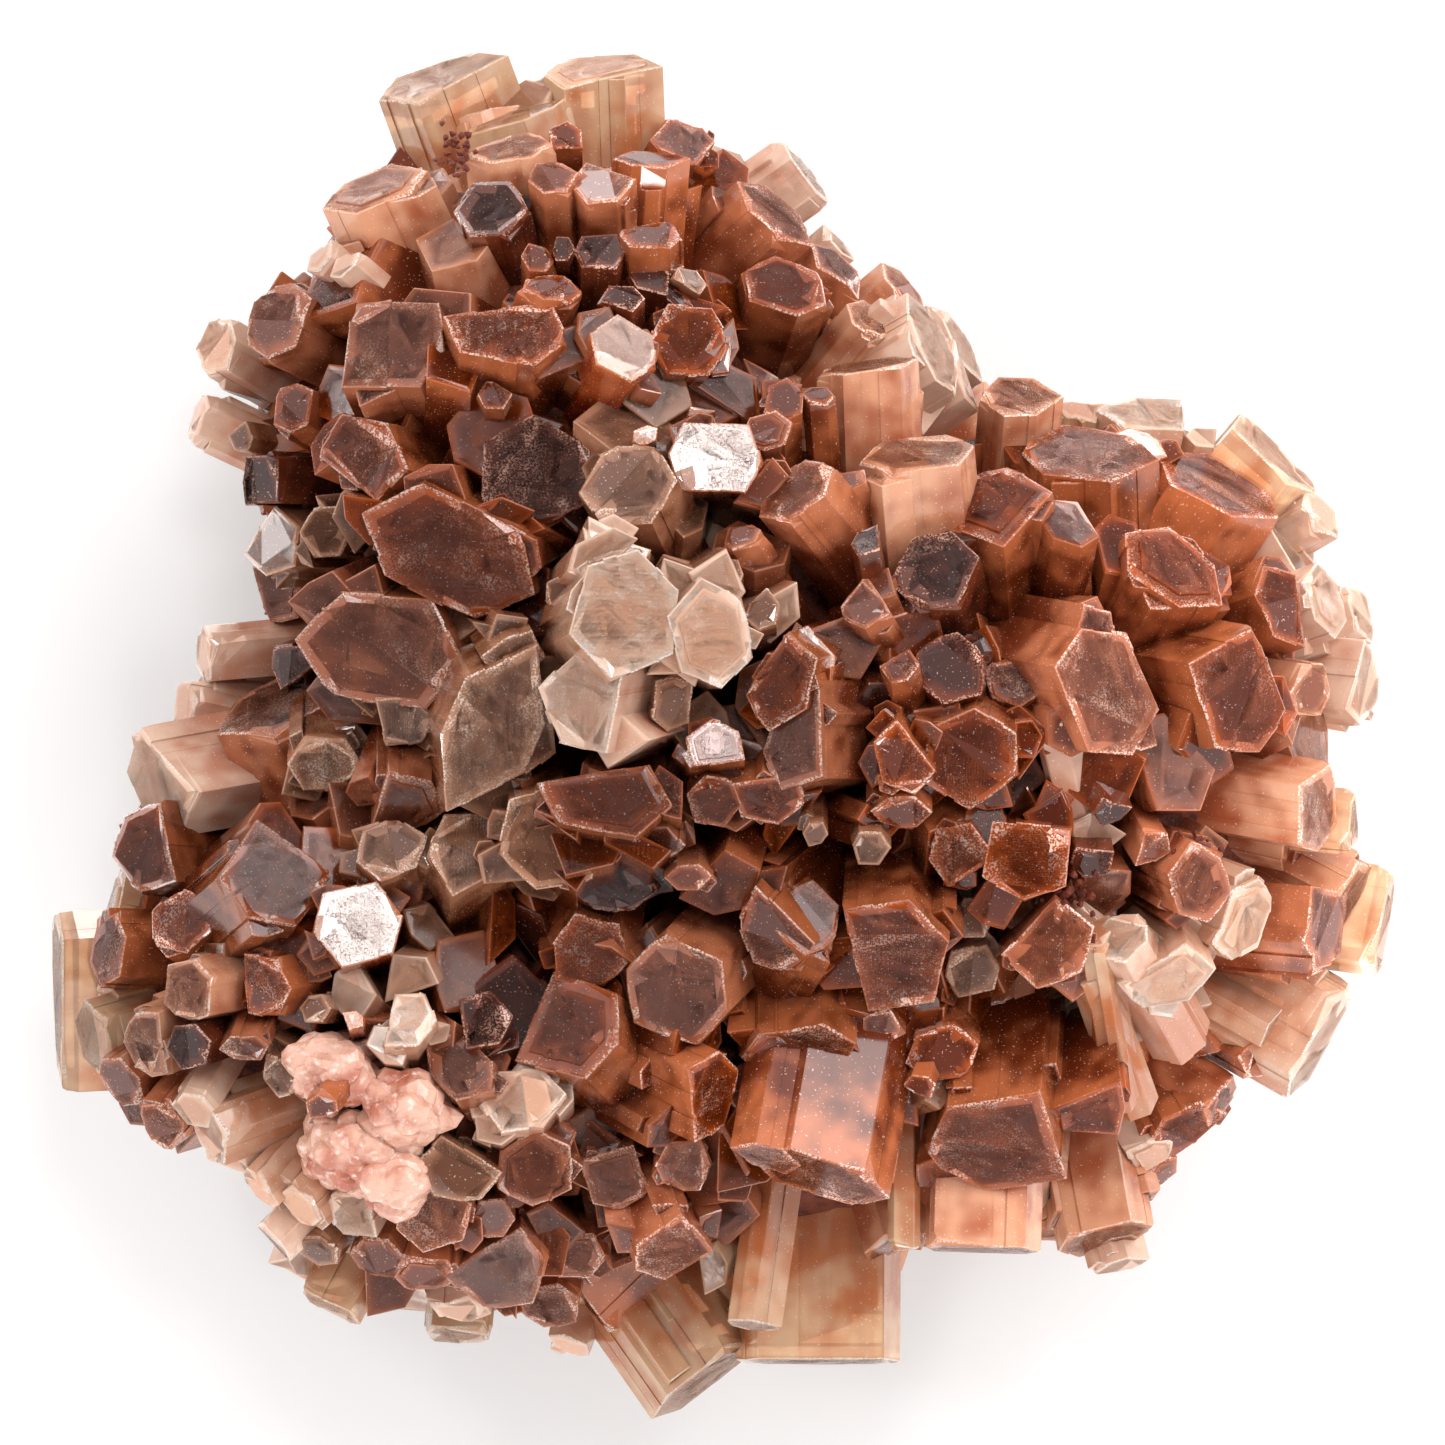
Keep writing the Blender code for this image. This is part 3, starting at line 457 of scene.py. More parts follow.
def on_grid(across, down):
    return (across - MIDDLE_ACROSS) * STEP, (MIDDLE_DOWN - down) * STEP


def lobe_middle(lobe):
    across, down, middle, _, _ = LOBES[lobe]
    x, y = on_grid(across, down)
    return Vector((x, y, middle * MM))


def lobe_height(x, y):
    """How high the lobes reach at a place, and the height of their widest part outside them."""
    heights = []
    for across, down, middle, reach, _ in LOBES:
        lobe_x, lobe_y = on_grid(across, down)
        away = math.hypot(x - lobe_x, y - lobe_y)
        rise = math.sqrt(max((reach * MM) ** 2 - away**2, 0))
        heights.append(middle * MM + rise)
    return max(heights)


def end_place(across, down, lift):
    """Where the middle of an end lies on the best side."""
    x, y = on_grid(across, down)
    return Vector((x, y, lobe_height(x, y) + lift * MM))


def crystal_length(half_length):
    return min(LONGEST, SHORTEST + LENGTH_FOR_END * half_length)


def spiral(number, rise, turn=0):
    """A direction on an even spiral round a ball, at a rise from -1 to 1."""
    ring = math.sqrt(1 - rise**2)
    angle = GOLDEN_ANGLE * number + turn
    return Vector((ring * math.cos(angle), ring * math.sin(angle), rise))


def turned_to(axis):
    """The turn that takes straight up to an axis."""
    return Vector((0, 0, 1)).rotation_difference(axis).to_matrix()


def direction(leans_to, lean):
    leans_to, lean = math.radians(leans_to), math.radians(lean)
    return Vector((
        math.sin(lean) * math.cos(leans_to),
        math.sin(lean) * math.sin(leans_to),
        math.cos(lean),
    ))


def end_corners(half_length, half_width, shoulder, turn, chance, wander=CORNER_WANDER):
    """The six corners of a flat end, long across and with a little natural wander."""
    plain = [
        (half_length, 0), (half_length * shoulder, half_width), (-half_length * shoulder, half_width),
        (-half_length, 0), (-half_length * shoulder, -half_width), (half_length * shoulder, -half_width),
    ]
    spin = Matrix.Rotation(math.radians(turn), 3, "Z")
    return [
        spin @ Vector((
            x * (1 + chance.uniform(-wander, wander)),
            y * (1 + chance.uniform(-wander, wander)),
            0,
        ))
        for x, y in plain
    ]


def small_corners(size, chance):
    """The four to six corners of a small crystal's end, less even than those of the large ones."""
    width = size * chance.uniform(*SMALL_WIDTHS)
    shoulder = chance.uniform(*SMALL_SHOULDERS)
    turn = chance.uniform(0, HALF_TURN)
    corners = end_corners(size, width, shoulder, turn, chance, SMALL_WANDER)
    for _ in range(chance.choice(CORNERS_LOST)):
        corners.pop(chance.randrange(len(corners)))
    return corners


def tilt(most, chance):
    return Vector((chance.uniform(-most, most), chance.uniform(-most, most), 0))


def add_object(name, bm):
    mesh = bpy.data.meshes.new(name)
    bm.to_mesh(mesh)
    bm.free()
    obj = bpy.data.objects.new(name, mesh)
    bpy.context.scene.collection.objects.link(obj)
    return obj


def ridged_outline(corners, chance, fine):
    """The outline of an end with its cut corners and the shallow ridges of its sides."""
    points = []
    for number, start in enumerate(corners):
        along = corners[(number + 1) % len(corners)] - start
        reach = along.length
        along.normalize()
        outward = Vector((along.y, -along.x, 0))
        cut = min(CORNER_CUT, CUT_SHARE * reach)
        strips = max(1, min(MOST_STRIPS, round(reach / STRIP))) if fine else 1
        inner = sorted(chance.uniform(*ALONG_A_SIDE) * reach for _ in range(strips - 1))
        cuts = [cut] + inner + [reach - cut]
        for here, there in zip(cuts, cuts[1:]):
            push = 0
            if fine:
                push = chance.uniform(-RIDGE, RIDGE) * min(reach, WIDEST_RIDGED)
            points.append(start + along * here + outward * push)
            points.append(start + along * there + outward * push)
    return points


class Grower:
    """A mesh to which closed prisms are added, with the values that their colours follow."""

    def __init__(self, slope):
        self.bm = bmesh.new()
        self.slope = slope
        verts = self.bm.verts.layers
        self.rim = verts.float.new("rim")
        self.side = verts.float.new("side")
        self.down = verts.float.new("down")
        self.tone_and_painted_light = verts.float.new("tone_and_painted_light")
        self.grain = verts.float_vector.new("grain")

    def ring(self, face, middle, drop, scale, rim, side=0.0, down=0.0):
        """Carries the end face on to another depth and size, and leaves a band of faces behind."""
        grown = bmesh.ops.extrude_face_region(self.bm, geom=[face])["geom"]
        face = next(item for item in grown if isinstance(item, bmesh.types.BMFace))
        for vert in face.verts:
            flat = vert[self.grain]
            place = middle + (Vector((flat.x, flat.y, 0)) - middle) * scale
            vert.co = Vector((place.x, place.y, -drop))
            if down == 0:
                vert.co.z += (place - middle).dot(self.slope)
            vert[self.rim], vert[self.side], vert[self.down] = rim, side, down
        return face

    def prism(self, corners, length, chance, top=0.0, fine=True, stepped=False):
        """A closed prism standing on z = -length, with its flat end at z = -top."""
        points = ridged_outline(corners, chance, fine)
        middle = sum(points, Vector()) / len(points)
        size = min((point - middle).length for point in points)
        start = [
            self.bm.verts.new(middle + (point - middle) * TAPER + Vector((0, 0, -length)))
            for point in points
        ]
        for vert, point in zip(start, points):
            vert[self.grain] = point
            vert[self.side], vert[self.down] = 1.0, 1.0
        face = self.bm.faces.new(list(reversed(start)))
        bevel = min(CAP_BEVEL, SMALL_BEVEL * size)
        edge = FULL_RIM if fine else SMALL_RIM
        for share in SIDE_BANDS if fine else SMALL_SIDE_BANDS:
            scale = 1 - (1 - TAPER) * share
            face = self.ring(face, middle, top + share * (length - top), scale, 0.0, 1.0, share)
        face = self.ring(face, middle, top + BEVEL_START * bevel, *SIDE_TOP, 1.0)
        face = self.ring(face, middle, top + bevel, 1.0, edge, BEVEL_SIDE)
        face = self.ring(face, middle, top, 1 - bevel / size, edge)
        face = self.ring(face, middle, top, *OUTER_BAND)
        if stepped:
            middle = middle + tilt(STEP_SHIFT, chance) * size
            rise = chance.uniform(*STEP_RISE) * MM
            face = self.ring(face, middle, top, *STEP_FOOT)
            top -= rise
            face = self.ring(face, middle, top, *STEP_HEAD)
        self.ring(face, middle, top, *INNER_BAND)

    def chip(self, place, reach, deep):
        """Breaks the end's edge away near a place."""
        inward = Vector((-place.x, -place.y, 0)).normalized()
        for vert in self.bm.verts:
            away = math.hypot(vert.co.x - place.x, vert.co.y - place.y)
            if away < reach and vert.co.z > place.z - deep * CHIP_BELOW:
                near = 1 - away / reach
                vert.co.z -= near * deep
                vert.co += inward * (near * deep * CHIP_INWARD)
                # The break takes the rim's colour: painted light, pale chipping and its painted glints
                vert[self.rim] = max(vert[self.rim], near)

    def finish(self, name, place, axis, chance):
        """The crystal as an object, with its end at a place, its colour made lighter or darker by that place
        as painted light and shade, and by chance.
        """
        outer = math.hypot(place.x, place.y) - PAINTED_LIGHT_MIDDLE
        # Painted light and shade: lighter to the right, outwards and where the crystal is turned aside,
        # darker towards the bottom and the middle
        tone_and_painted_light = (
            1 + chance.uniform(-TONE_WANDER, TONE_WANDER)
            + PAINTED_LIGHT_ACROSS * place.x
            + PAINTED_SHADE_DOWN * min(place.y, 0)
            + PAINTED_LIGHT_OUTWARD * outer
            + PAINTED_LIGHT_TURNED * (1 - max(axis.z, 0))
        )
        offset = Vector([chance.uniform(0, GRAIN_SHIFT) for _ in range(3)])
        for vert in self.bm.verts:
            vert[self.tone_and_painted_light] = tone_and_painted_light
            vert[self.grain] = vert.co / MM + offset
        turned = turned_to(axis).to_4x4()
        bmesh.ops.transform(self.bm, matrix=Matrix.Translation(place) @ turned, verts=self.bm.verts)
        bmesh.ops.recalc_face_normals(self.bm, faces=self.bm.faces)
        return add_object(name, self.bm)


def full_crystal(name, place, axis, corners, length, chance, stands=False):
    """A crystal with the thinner ones that have grown along its sides, and its chips."""
    grower = Grower(tilt(0 if stands else SLOPE, chance))
    half = max(corner.length for corner in corners)
    stepped = half > STEPPED_FROM and chance.random() < STEPPED and not stands
    grower.prism(corners, length, chance, stepped=stepped)
    shoots = chance.choice(SHOOT_COUNTS if half > SHOOTS_FROM else SMALL_SHOOT_COUNTS)
    if stands:
        shoots = 0
    for _ in range(shoots):
        side = chance.randrange(len(corners))
        outward = corners[side].lerp(corners[(side + 1) % len(corners)], chance.uniform(*ALONG_A_SIDE))
        size = max(half * chance.uniform(*SHOOT_SIZES), THINNEST_SHOOT)
        shift = outward - outward.normalized() * size * chance.uniform(*SHOOT_INSET)
        shoot = [corner + shift for corner in small_corners(size, chance)]
        top = chance.choice(SHOOT_TOPS) * chance.uniform(*SHOOT_TOP_WANDER) * MM
        grower.prism(shoot, length, chance, top=top)
    for _ in range(chance.choice(CHIP_COUNTS)):
        corner = chance.choice(corners)
        other = chance.choice(corners)
        at = corner.lerp(other, chance.choice(CHIP_INSET))
        grower.chip(at, chance.uniform(*CHIP_REACH) * MM, chance.uniform(*CHIP_DEPTH) * MM)
    return grower.finish(name, place, axis, chance)


def plain_crystal(name, place, axis, corners, length, chance, twins):
    """A small crystal, with those grown together with it."""
    grower = Grower(tilt(SMALL_SLOPE, chance))
    grower.prism(corners, length, chance, fine=False)
    for _ in range(twins):
        side = chance.choice(corners)
        size = side.length * chance.uniform(*TWIN_SIZES)
        shift = side * chance.uniform(*TWIN_SHIFT)
        twin = [corner + shift for corner in small_corners(size, chance)]
        grower.prism(twin, length, chance, top=chance.uniform(*TWIN_TOPS) * MM, fine=False)
    if twins:
        corner = chance.choice(corners)
        reach = chance.uniform(*SMALL_CHIP_REACH) * MM
        grower.chip(corner, reach, chance.uniform(*SMALL_CHIP_DEPTH) * MM)
    return grower.finish(name, place, axis, chance)


def low_kind(kind):
    """The kind of the lower crystals by one of a kind, as only the high ends carry the painted reflection of
    the light.
    """
    return "m" if kind == "w" else kind


def companions(made):
    """The lower crystals that have grown against the sides of the larger ones."""
    chance = random.Random(51)
    for parent, row in enumerate(LARGE_CRYSTALS):
        across, down, half_length, half_width, turn, _, leans_to, lean, lift, kind = row
        if lean > BARE_FROM:
            continue
        place = end_place(across, down, lift)
        axis = direction(leans_to, lean)
        turned = turned_to(axis) @ Matrix.Rotation(math.radians(turn), 3, "Z")
        for number in range(BESIDE_COUNT_SMALL if half_length < BESIDE_SMALL_UNDER else BESIDE_COUNT):
            angle = chance.uniform(0, 2 * math.pi)
            reach = chance.uniform(*BESIDE_REACH) * STEP
            beside = turned @ Vector((math.cos(angle) * half_length, math.sin(angle) * half_width, 0)) * reach
            at = place + beside - axis * chance.uniform(*BESIDE_DROP) * MM
            size = half_length * STEP * chance.uniform(*BESIDE_SIZES)
            ends = small_corners(min(max(size, BESIDE_LEAST), BESIDE_MOST), chance)
            if beside.z > BESIDE_HIGHEST * beside.length:
                continue
            tilted = (axis + beside.normalized() * chance.uniform(0, BESIDE_TILT)).normalized()
            if not inside(placed(at, tilted, ends)):
                continue
            name = f"beside_{parent}_{number}"
            grown = plain_crystal(name, at, tilted, ends, BESIDE_LENGTH, chance, 1)
            made[low_kind(kind)].append(grown)


def facing_crystals(made):
    """The crystals of the best side, each where its flat end is seen."""
    chance = random.Random(7)
    detail = random.Random(21)
    for number, row in enumerate(LARGE_CRYSTALS + SMALL_CRYSTALS):
        across, down, half_length, half_width, turn, shoulder, leans_to, lean, lift, kind = row
        half_length *= STEP * FACING_GROWTH
        half_width *= STEP * FACING_GROWTH
        corners = end_corners(half_length, half_width, shoulder, turn, chance, FACING_WANDER)
        if detail.random() < FIVE_CORNERED:
            corners.pop(detail.randrange(len(corners)))
        place = end_place(across, down, lift)
        axis = direction(leans_to, lean)
        length = crystal_length(half_length)
        stands = kind in STANDING_KINDS or lean > BARE_FROM
        name = f"facing_{number}"
        made[kind].append(full_crystal(name, place, axis, corners, length, detail, stands))


def nearest_kind(place, chance):
    """The kind of one of the large crystals of the best side that are nearest."""
    near = []
    for row in LARGE_CRYSTALS:
        x, y = on_grid(row[0], row[1])
        near.append((math.hypot(place.x - x, place.y - y), row[9]))
    near.sort()
    return low_kind(chance.choice(near[:NEAREST])[1])


def shown_sides():
    """Where sides of leaning crystals are seen: from the end, back along it, and how wide."""
    sides = []
    for across, down, half_length, half_width, _, _, leans_to, lean, _, _ in LARGE_CRYSTALS:
        if lean < SIDE_SHOWN_FROM:
            continue
        start = Vector(on_grid(across, down))
        axis = direction(leans_to, lean)
        back = crystal_length(half_length * STEP) * SIDE_SHOWN
        shown = half_length if lean > BARE_FROM else half_width
        sides.append((start, start - axis.to_2d() * back, shown * STEP))
    return sides


def covers(place, sides):
    """Whether a place is in front of a crystal's side."""
    flat = place.to_2d()
    for start, end, width in sides:
        along = end - start
        share = max(0.0, min(1.0, (flat - start).dot(along) / along.length_squared))
        if (flat - start - along * share).length < width:
            return True
    return False


def fill_crystals(made):
    """The small crystals that stand lower, between the larger ones and round the back."""
    chance = random.Random(31)
    sides = shown_sides()
    for lobe, (_, _, _, reach, _) in enumerate(LOBES):
        centre = lobe_middle(lobe)
        for number in range(FILL_COUNT):
            rise = 1 - FILL_DROP * (number + 0.5) / FILL_COUNT
            axis = spiral(number, rise, lobe)
            place = centre + axis * ((reach - chance.uniform(*FILL_DEPTH)) * MM)
            if buried(place, lobe, FILL_BURIED) or rise > 0 and covers(place, sides):
                continue
            sway = tilt(FILL_TILT, chance) + Vector((0, 0, chance.uniform(-FILL_SINK, FILL_TILT)))
            axis = (axis + sway).normalized()
            corners = small_corners(chance.uniform(*FILL_SIZES) * MM, chance)
            while not inside(placed(place, axis, corners)):
                place -= (place - centre) * FILL_STEP_IN
            kind = nearest_kind(place, chance)
            name = f"fill_{lobe}_{number}"
            made[kind].append(plain_crystal(name, place, axis, corners, FILL_LENGTH, chance, number % 2))


def under_crystals(made):
    """The crystals of the hidden side, spread evenly over the lower part of each lobe."""
    chance = random.Random(11)
    detail = random.Random(41)
    for lobe, (_, _, _, _, reach) in enumerate(LOBES):
        centre = lobe_middle(lobe)
        for number in range(UNDER_COUNT):
            rise = UNDER_FROM - (1 + UNDER_FROM) * (number + 0.5) / UNDER_COUNT
            axis = spiral(number, rise, lobe)
            place = centre + axis * (reach * MM * chance.uniform(*UNDER_REACH))
            size = chance.uniform(*UNDER_SIZES)
            width = size * chance.uniform(*UNDER_WIDTHS)
            turn = chance.uniform(0, HALF_TURN)
            corners = end_corners(size, width, PLAIN_SHOULDER, turn, chance)
            end = placed(place, axis, corners)
            if buried(place, lobe, UNDER_BURIED) or min(point.z for point in end) < CLEAR_OF_SURFACE:
                continue
            if not inside(end):
                continue
            kind = detail.choice(UNDER_KINDS)
            name = f"under_{lobe}_{number}"
            made[kind].append(full_crystal(name, place, axis, corners, crystal_length(size), detail))
    straight_down = Vector((0, 0, -1))
    for number, (x, y, size) in enumerate(FEET):
        corners = end_corners(size * MM, size * FOOT_WIDTH * MM, PLAIN_SHOULDER, FOOT_TURN * number, chance)
        place = Vector((x * MM, y * MM, 0))
        foot = full_crystal(f"foot_{number}", place, straight_down, corners, FOOT_LENGTH, detail, True)
        made[FOOT_KINDS[number]].append(foot)


def buried(place, lobe, deep):
    """Whether a place is well inside another lobe."""
    for other, (_, _, _, _, reach) in enumerate(LOBES):
        if other != lobe and (place - lobe_middle(other)).length < (reach - deep) * MM:
            return True
    return False


def placed(place, axis, corners):
    """Where the corners of an end lie on the cluster."""
    turned = turned_to(axis)
    return [place + turned @ corner for corner in corners]


def inside(points):
    return all(within_outline(point.x, point.y) for point in points)


def within_outline(x, y):
    """Whether a place is inside the outline, by counting the edges to one side of it."""
    crossings = 0
    points = [on_grid(across, down) for across, down in OUTLINE]
    for (x1, y1), (x2, y2) in zip(points, points[1:] + points[:1]):
        if (y1 > y) != (y2 > y) and x < x1 + (y - y1) * (x2 - x1) / (y2 - y1):
            crossings += 1
    return crossings % 2 == 1


def ball(subdivisions, radius):
    bm = bmesh.new()
    bmesh.ops.create_icosphere(bm, subdivisions=subdivisions, radius=radius)
    return bm


def add_stone(name, bm):
    """An object of a mesh that isn't a crystal, with the values that its material reads."""
    grain = bm.verts.layers.float_vector.new("grain")
    for vert in bm.verts:
        vert[grain] = vert.co / MM
    return add_object(name, bm)


def root_mass():
    """The massive aragonite in which the crystals' roots have grown together."""
    made = []
    (wide, wide_height), (fine, fine_height) = ROOT_LUMPS
    for lobe, (_, _, _, _, reach) in enumerate(LOBES):
        bm = ball(5, (reach - ROOT_DEPTHS[lobe]) * MM)
        for vert in bm.verts:
            lumps = wide_height * noise.noise(vert.co * wide + Vector((lobe, 0, 0)))
            vert.co *= 1 + lumps + fine_height * noise.noise(vert.co * fine)
        bmesh.ops.translate(bm, vec=lobe_middle(lobe), verts=bm.verts)
        made.append(add_stone(f"root_{lobe}", bm))
    return made


def pale_lump():
    """The lump of fine pale crystals, like coarse sugar."""
    made = []
    chance = random.Random(61)
    lump_scale, lump_height = SUGAR_LUMPS
    for number, (across, down, height, half_length, half_width, half_depth) in enumerate(PALE_LUMP):
        sizes = Vector((half_length * STEP, half_width * STEP, half_depth * STEP))
        x, y = on_grid(across, down)
        middle = Vector((x, y, height * MM - sizes.z))
        for grain in range(SUGAR_COUNT):
            rise = 1 - SUGAR_DROP * (grain + 0.5) / SUGAR_COUNT
            away = spiral(grain, rise) * chance.uniform(*SUGAR_REACH)
            bm = ball(2, chance.uniform(*SUGAR_SIZES) * MM)
            rolled = Matrix.Rotation(chance.uniform(0, SUGAR_TURN), 4, "X")
            turned = rolled @ Matrix.Rotation(chance.uniform(0, SUGAR_TURN), 4, "Y")
            for vert in bm.verts:
                lumps = noise.noise(vert.co * lump_scale + Vector((grain, number, 0)))
                vert.co = vert.co * Vector(SUGAR_SHAPE) * (1 + lump_height * lumps)
            place = middle + away * sizes
            bmesh.ops.transform(bm, matrix=Matrix.Translation(place) @ turned, verts=bm.verts)
            made.append(add_stone(f"pale_{number}_{grain}", bm))
        bm = ball(3, 1)
        bmesh.ops.scale(bm, vec=sizes * LUMP_FILLING, verts=bm.verts)
        bmesh.ops.translate(bm, vec=middle, verts=bm.verts)
        made.append(add_stone(f"pale_{number}", bm))
    return made


def clay_crumbs():
    """Crumbs of red clay, scattered round a few places."""
    made = []
    chance = random.Random(17)
    for group, (across, down, lift, size, count) in enumerate(CLAY):
        for number in range(count):
            x, y = on_grid(across + chance.gauss(0, CLAY_SPREAD), down + chance.gauss(0, CLAY_SPREAD))
            bm = ball(1, size * MM * chance.uniform(*CLAY_SIZES))
            for vert in bm.verts:
                vert.co *= chance.uniform(*CLAY_LUMPS)
            height = lobe_height(x, y) + (lift - chance.uniform(0, CLAY_SINK)) * MM
            bmesh.ops.translate(bm, vec=(x, y, height), verts=bm.verts)
            made.append(add_stone(f"clay_{group}_{number}", bm))
    return made


def joined(name, objects, material):
    """One piece of the look from many grown bodies, riding on the cluster."""
    first = objects[0]
    with bpy.context.temp_override(
        active_object=first, object=first, selected_objects=objects, selected_editable_objects=objects,
    ):
        bpy.ops.object.join()
    first.name = name
    first.data.name = name
    first.data.materials.append(material)
    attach(first, "root")
    return first


def linear(colour, richer=1.0):
    """A colour out of 255 as the shader takes it, made richer in colour by a factor."""
    parts = []
    for part in colour:
        part /= 255
        parts.append(part / 12.92 if part <= 0.04045 else ((part + 0.055) / 1.055) ** 2.4)
    strongest = max(parts)
    return (*(max(0.0, strongest - (strongest - part) * richer) for part in parts), 1)


def set_range(node, low, high, to_low, to_high):
    """Sets where a range node starts and ends, and what it gives there."""
    for name, number in (("From Min", low), ("From Max", high), ("To Min", to_low), ("To Max", to_high)):
        node.inputs[name].default_value = number


class Tree:
    """A material's nodes, with short ways to add and join them."""

    def __init__(self, name):
        self.material = bpy.data.materials.new(name)
        self.material.use_nodes = True
        self.nodes = self.material.node_tree.nodes
        self.links = self.material.node_tree.links
        self.shader = self.nodes["Principled BSDF"]

    def put(self, socket, value):
        if isinstance(value, bpy.types.NodeSocket):
            self.links.new(value, socket)
        else:
            socket.default_value = value

    def value(self, name, output="Fac"):
        node = self.nodes.new("ShaderNodeAttribute")
        node.attribute_name = name
        return node.outputs[output]

    def math(self, operation, first, second):
        node = self.nodes.new("ShaderNodeMath")
        node.operation = operation
        self.put(node.inputs[0], first)
        self.put(node.inputs[1], second)
        return node.outputs[0]

    def mix(self, share, first, second):
        node = self.nodes.new("ShaderNodeMix")
        node.data_type = "RGBA"
        self.put(node.inputs["Factor"], share)
        self.put(node.inputs[6], first)
        self.put(node.inputs[7], second)
        return node.outputs[2]

    def spread(self, value, low, high, to_low=0.0, to_high=1.0):
        node = self.nodes.new("ShaderNodeMapRange")
        node.interpolation_type = "SMOOTHSTEP"
        self.put(node.inputs["Value"], value)
        set_range(node, low, high, to_low, to_high)
        return node.outputs["Result"]

    def scaled(self, vector, scale):
        node = self.nodes.new("ShaderNodeMapping")
        self.links.new(vector, node.inputs["Vector"])
        node.inputs["Scale"].default_value = scale
        return node.outputs["Vector"]

    def times(self, colour, share):
        node = self.nodes.new("ShaderNodeVectorMath")
        node.operation = "SCALE"
        self.links.new(colour, node.inputs[0])
        self.put(node.inputs["Scale"], share)
        return node.outputs["Vector"]

    def noise(self, vector, scale, detail):
        node = self.nodes.new("ShaderNodeTexNoise")
        self.links.new(vector, node.inputs["Vector"])
        node.inputs["Scale"].default_value = scale
        node.inputs["Detail"].default_value = detail
        node.inputs["Roughness"].default_value = PATTERN_ROUGHNESS
        return node.outputs["Fac"]

    def bump(self, height, strength, distance):
        node = self.nodes.new("ShaderNodeBump")
        node.inputs["Strength"].default_value = strength
        node.inputs["Distance"].default_value = distance
        self.links.new(height, node.inputs["Height"])
        return node.outputs["Normal"]


def crystal_look(kind):
    """Cloudy crystal with painted shade in the middle of its end, painted light at its rim and by the end,
    painted shade down its side, streaks along it, and broken edges pale with chips and painted glints.
    """
    richer = PALE_RICHER if kind in PALE_KINDS else RICHER
    middle, rim, near, far, edge = (linear(colour, richer) for colour in COLOURS[kind])
    clearness, roughness = FINISHES[kind]
    tree = Tree(NAMES[kind].replace("_", " "))
    grain = tree.value("grain", "Vector")
    cloud = tree.noise(grain, CLOUD_SCALE, 1)
    fine = tree.noise(grain, FINE_SCALE, 0)
    drift = tree.math("SUBTRACT", cloud, 0.5)
    # The middle of the end is darker as painted shade, its rim lighter as painted light through the thin edge
    end = tree.mix(tree.spread(tree.math("ADD", tree.value("rim"), drift), *SHADE_TO_RIM_LIGHT), middle, rim)
    # The side is lighter by the end as painted light and darker further down as painted shade between the
    # crystals
    side = tree.mix(tree.spread(tree.math("ADD", tree.value("down"), drift), *SIDE_LIGHT_TO_SHADE), near, far)
    if kind in STREAKS:
        streak, streaks, stains = STREAKS[kind]
        lines = tree.noise(tree.scaled(grain, LINE_STRETCH), 1, 1)
        side = tree.mix(tree.spread(lines, *STREAK_LINES, 0, streaks), side, linear(streak, richer))
        side = tree.mix(tree.spread(lines, *STAIN_LINES, 0, stains), side, linear(STAIN))
    colour = tree.mix(tree.spread(tree.value("side"), *END_TO_SIDE), end, side)
    # Broken pale lines round the rim: pale chipped edges, and painted glints on them
    broken = tree.math("MULTIPLY", tree.spread(fine, *BROKEN_BITS), tree.spread(cloud, *BROKEN_PATCHES))
    chipped_edge_and_glint = tree.math("MULTIPLY", tree.spread(tree.value("rim"), *EDGE_GLINT_LINE), broken)
    colour = tree.mix(chipped_edge_and_glint, colour, edge)
    # Tiny dots of the edge colour, painted glints
    colour = tree.mix(tree.spread(fine, *GLINT_SPECK_DOTS, 0, PAINTED_GLINT_SPECKS), colour, edge)
    # The colour is made lighter or darker by painted light and shade that follow the crystal's place, and by
    # chance
    tone_and_painted_light = tree.value("tone_and_painted_light")
    if kind in EVEN_KINDS:
        share, least = EVEN_TONE
        tone_and_painted_light = tree.math("ADD", tree.math("MULTIPLY", tone_and_painted_light, share), least)
    tree.put(tree.shader.inputs["Base Color"], tree.times(colour, tone_and_painted_light))
    tree.shader.distribution = "GGX"
    if kind == "w":
        roughness = tree.spread(fine, *WORN_SPOTS, roughness, WORN_ROUGHNESS)
    tree.put(tree.shader.inputs["Roughness"], roughness)
    tree.shader.inputs["IOR"].default_value = LIGHT_BENDING
    tree.shader.inputs["Specular IOR Level"].default_value = BRIGHT_SHINE if kind == "w" else SHINE
    tree.shader.inputs["Transmission Weight"].default_value = clearness
    return tree.material


def rough_look(name, low, high, pale, scale, shine, rough):
    """Rough massive stone in three mottled colours."""
    tree = Tree(name)
    grain = tree.value("grain", "Vector")
    mottle = tree.noise(grain, scale, 4)
    fine = tree.noise(grain, scale * GRIT_SCALE, 3)
    colour = tree.mix(tree.spread(mottle, *MOTTLE_CHANGE), linear(low), linear(high))
    colour = tree.mix(tree.spread(fine, *PALE_SPOTS), colour, linear(pale))
    tree.put(tree.shader.inputs["Base Color"], colour)
    tree.put(tree.shader.inputs["Roughness"], tree.spread(fine, *ROUGH_CHANGE, *rough))
    tree.shader.inputs["IOR"].default_value = LIGHT_BENDING
    tree.shader.inputs["Specular IOR Level"].default_value = shine
    tree.put(tree.shader.inputs["Normal"], tree.bump(fine, *STONE_BUMP))
    return tree.material


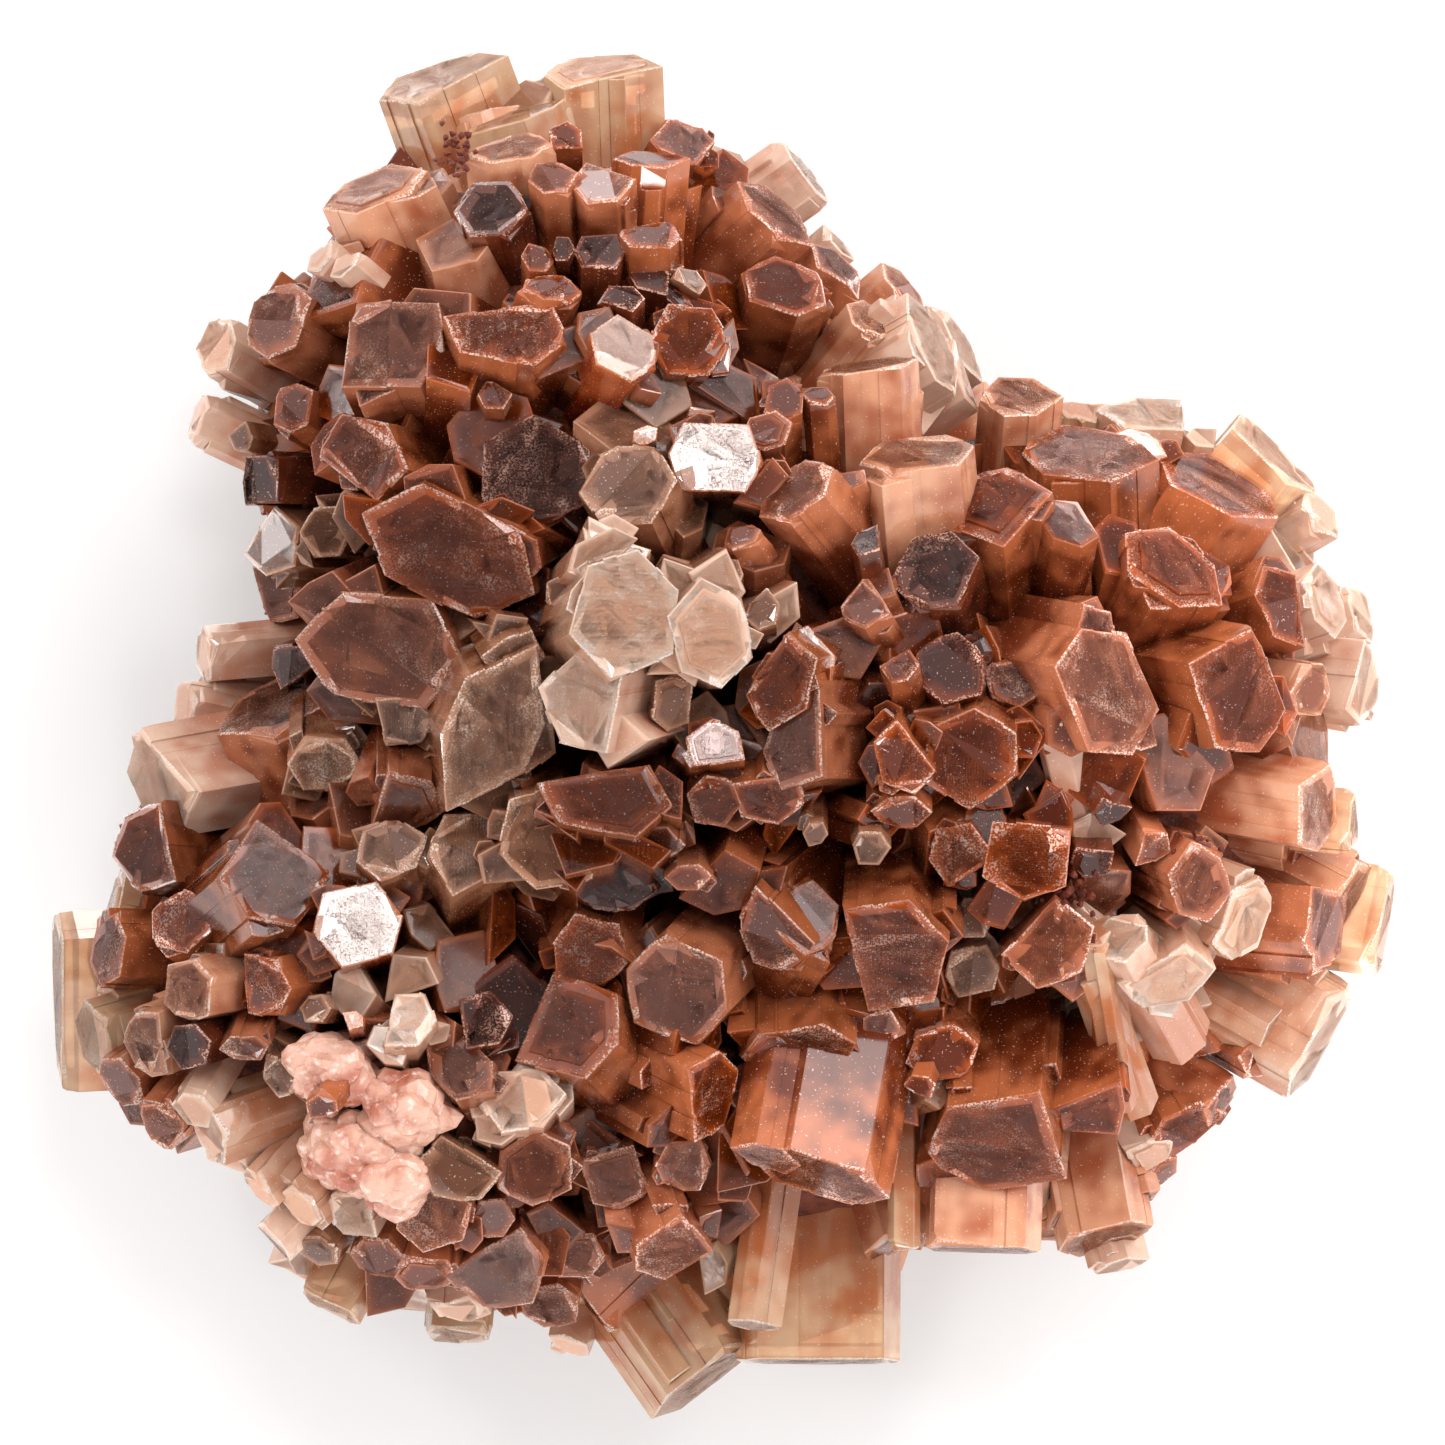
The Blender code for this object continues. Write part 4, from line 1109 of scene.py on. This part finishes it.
def pale_floor():
    bm = bmesh.new()
    bmesh.ops.create_grid(bm, x_segments=1, y_segments=1, size=FLOOR_SIZE)
    bmesh.ops.translate(bm, vec=(0, 0, -FLOOR_DROP), verts=bm.verts)
    floor = add_object("floor", bm)
    paper = Tree("pale floor")
    paper.shader.inputs["Base Color"].default_value = FLOOR_COLOUR
    paper.shader.inputs["Roughness"].default_value = FLOOR_ROUGHNESS
    floor.data.materials.append(paper.material)


def soft_light():
    """Even light from all round, dimmer from straight above so that flat ends don't shine white."""
    world = bpy.data.worlds.new("soft light")
    bpy.context.scene.world = world
    world.use_nodes = True
    nodes, links = world.node_tree.nodes, world.node_tree.links
    aim = nodes.new("ShaderNodeTexCoord")
    parts = nodes.new("ShaderNodeSeparateXYZ")
    dim = nodes.new("ShaderNodeMapRange")
    links.new(aim.outputs["Generated"], parts.inputs["Vector"])
    links.new(parts.outputs["Z"], dim.inputs["Value"])
    set_range(dim, *SKY_EDGE, *SKY_STRENGTHS)
    links.new(dim.outputs["Result"], nodes["Background"].inputs["Strength"])
    nodes["Background"].inputs["Color"].default_value = (1, 1, 1, 1)


def flat_light(name, place, width, height, power):
    light = bpy.data.lights.new(name, "AREA")
    light.shape = "RECTANGLE"
    light.size, light.size_y = width, height
    light.energy = power
    obj = bpy.data.objects.new(name, light)
    bpy.context.scene.collection.objects.link(obj)
    obj.location = place
    obj.rotation_euler = (Vector(place) - Vector(AIMED_AT)).to_track_quat("Z", "Y").to_euler()


def camera_above():
    camera = bpy.data.cameras.new("camera")
    camera.lens, camera.sensor_width = CAMERA_LENS, CAMERA_SENSOR
    camera.clip_end = CAMERA_REACH
    obj = bpy.data.objects.new("camera", camera)
    obj.location = CAMERA_PLACE
    bpy.context.scene.collection.objects.link(obj)
    bpy.context.scene.camera = obj


def studio():
    """A pale floor, soft light from all round and from above, and the camera straight above."""
    pale_floor()
    soft_light()
    for light in LIGHTS:
        flat_light(*light)
    camera_above()
    bpy.context.scene.view_settings.view_transform = "Standard"
    bpy.context.scene.cycles.max_bounces = BOUNCES


def main():
    made = {kind: [] for kind in NAMES}
    facing_crystals(made)
    companions(made)
    fill_crystals(made)
    under_crystals(made)
    roots = rough_look("root aragonite", *ROOT_STONE)
    mass = joined("root_mass", root_mass(), roots)
    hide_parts("aragonite_cluster")
    for kind, name in NAMES.items():
        joined(name, made[kind], crystal_look(kind))
    pale = rough_look("pale sugary aragonite", *PALE_STONE)
    joined("pale_lump", pale_lump(), pale)
    clay = rough_look("red clay", *CLAY_STONE)
    joined("clay_crumbs", clay_crumbs(), clay)
    studio()


main()
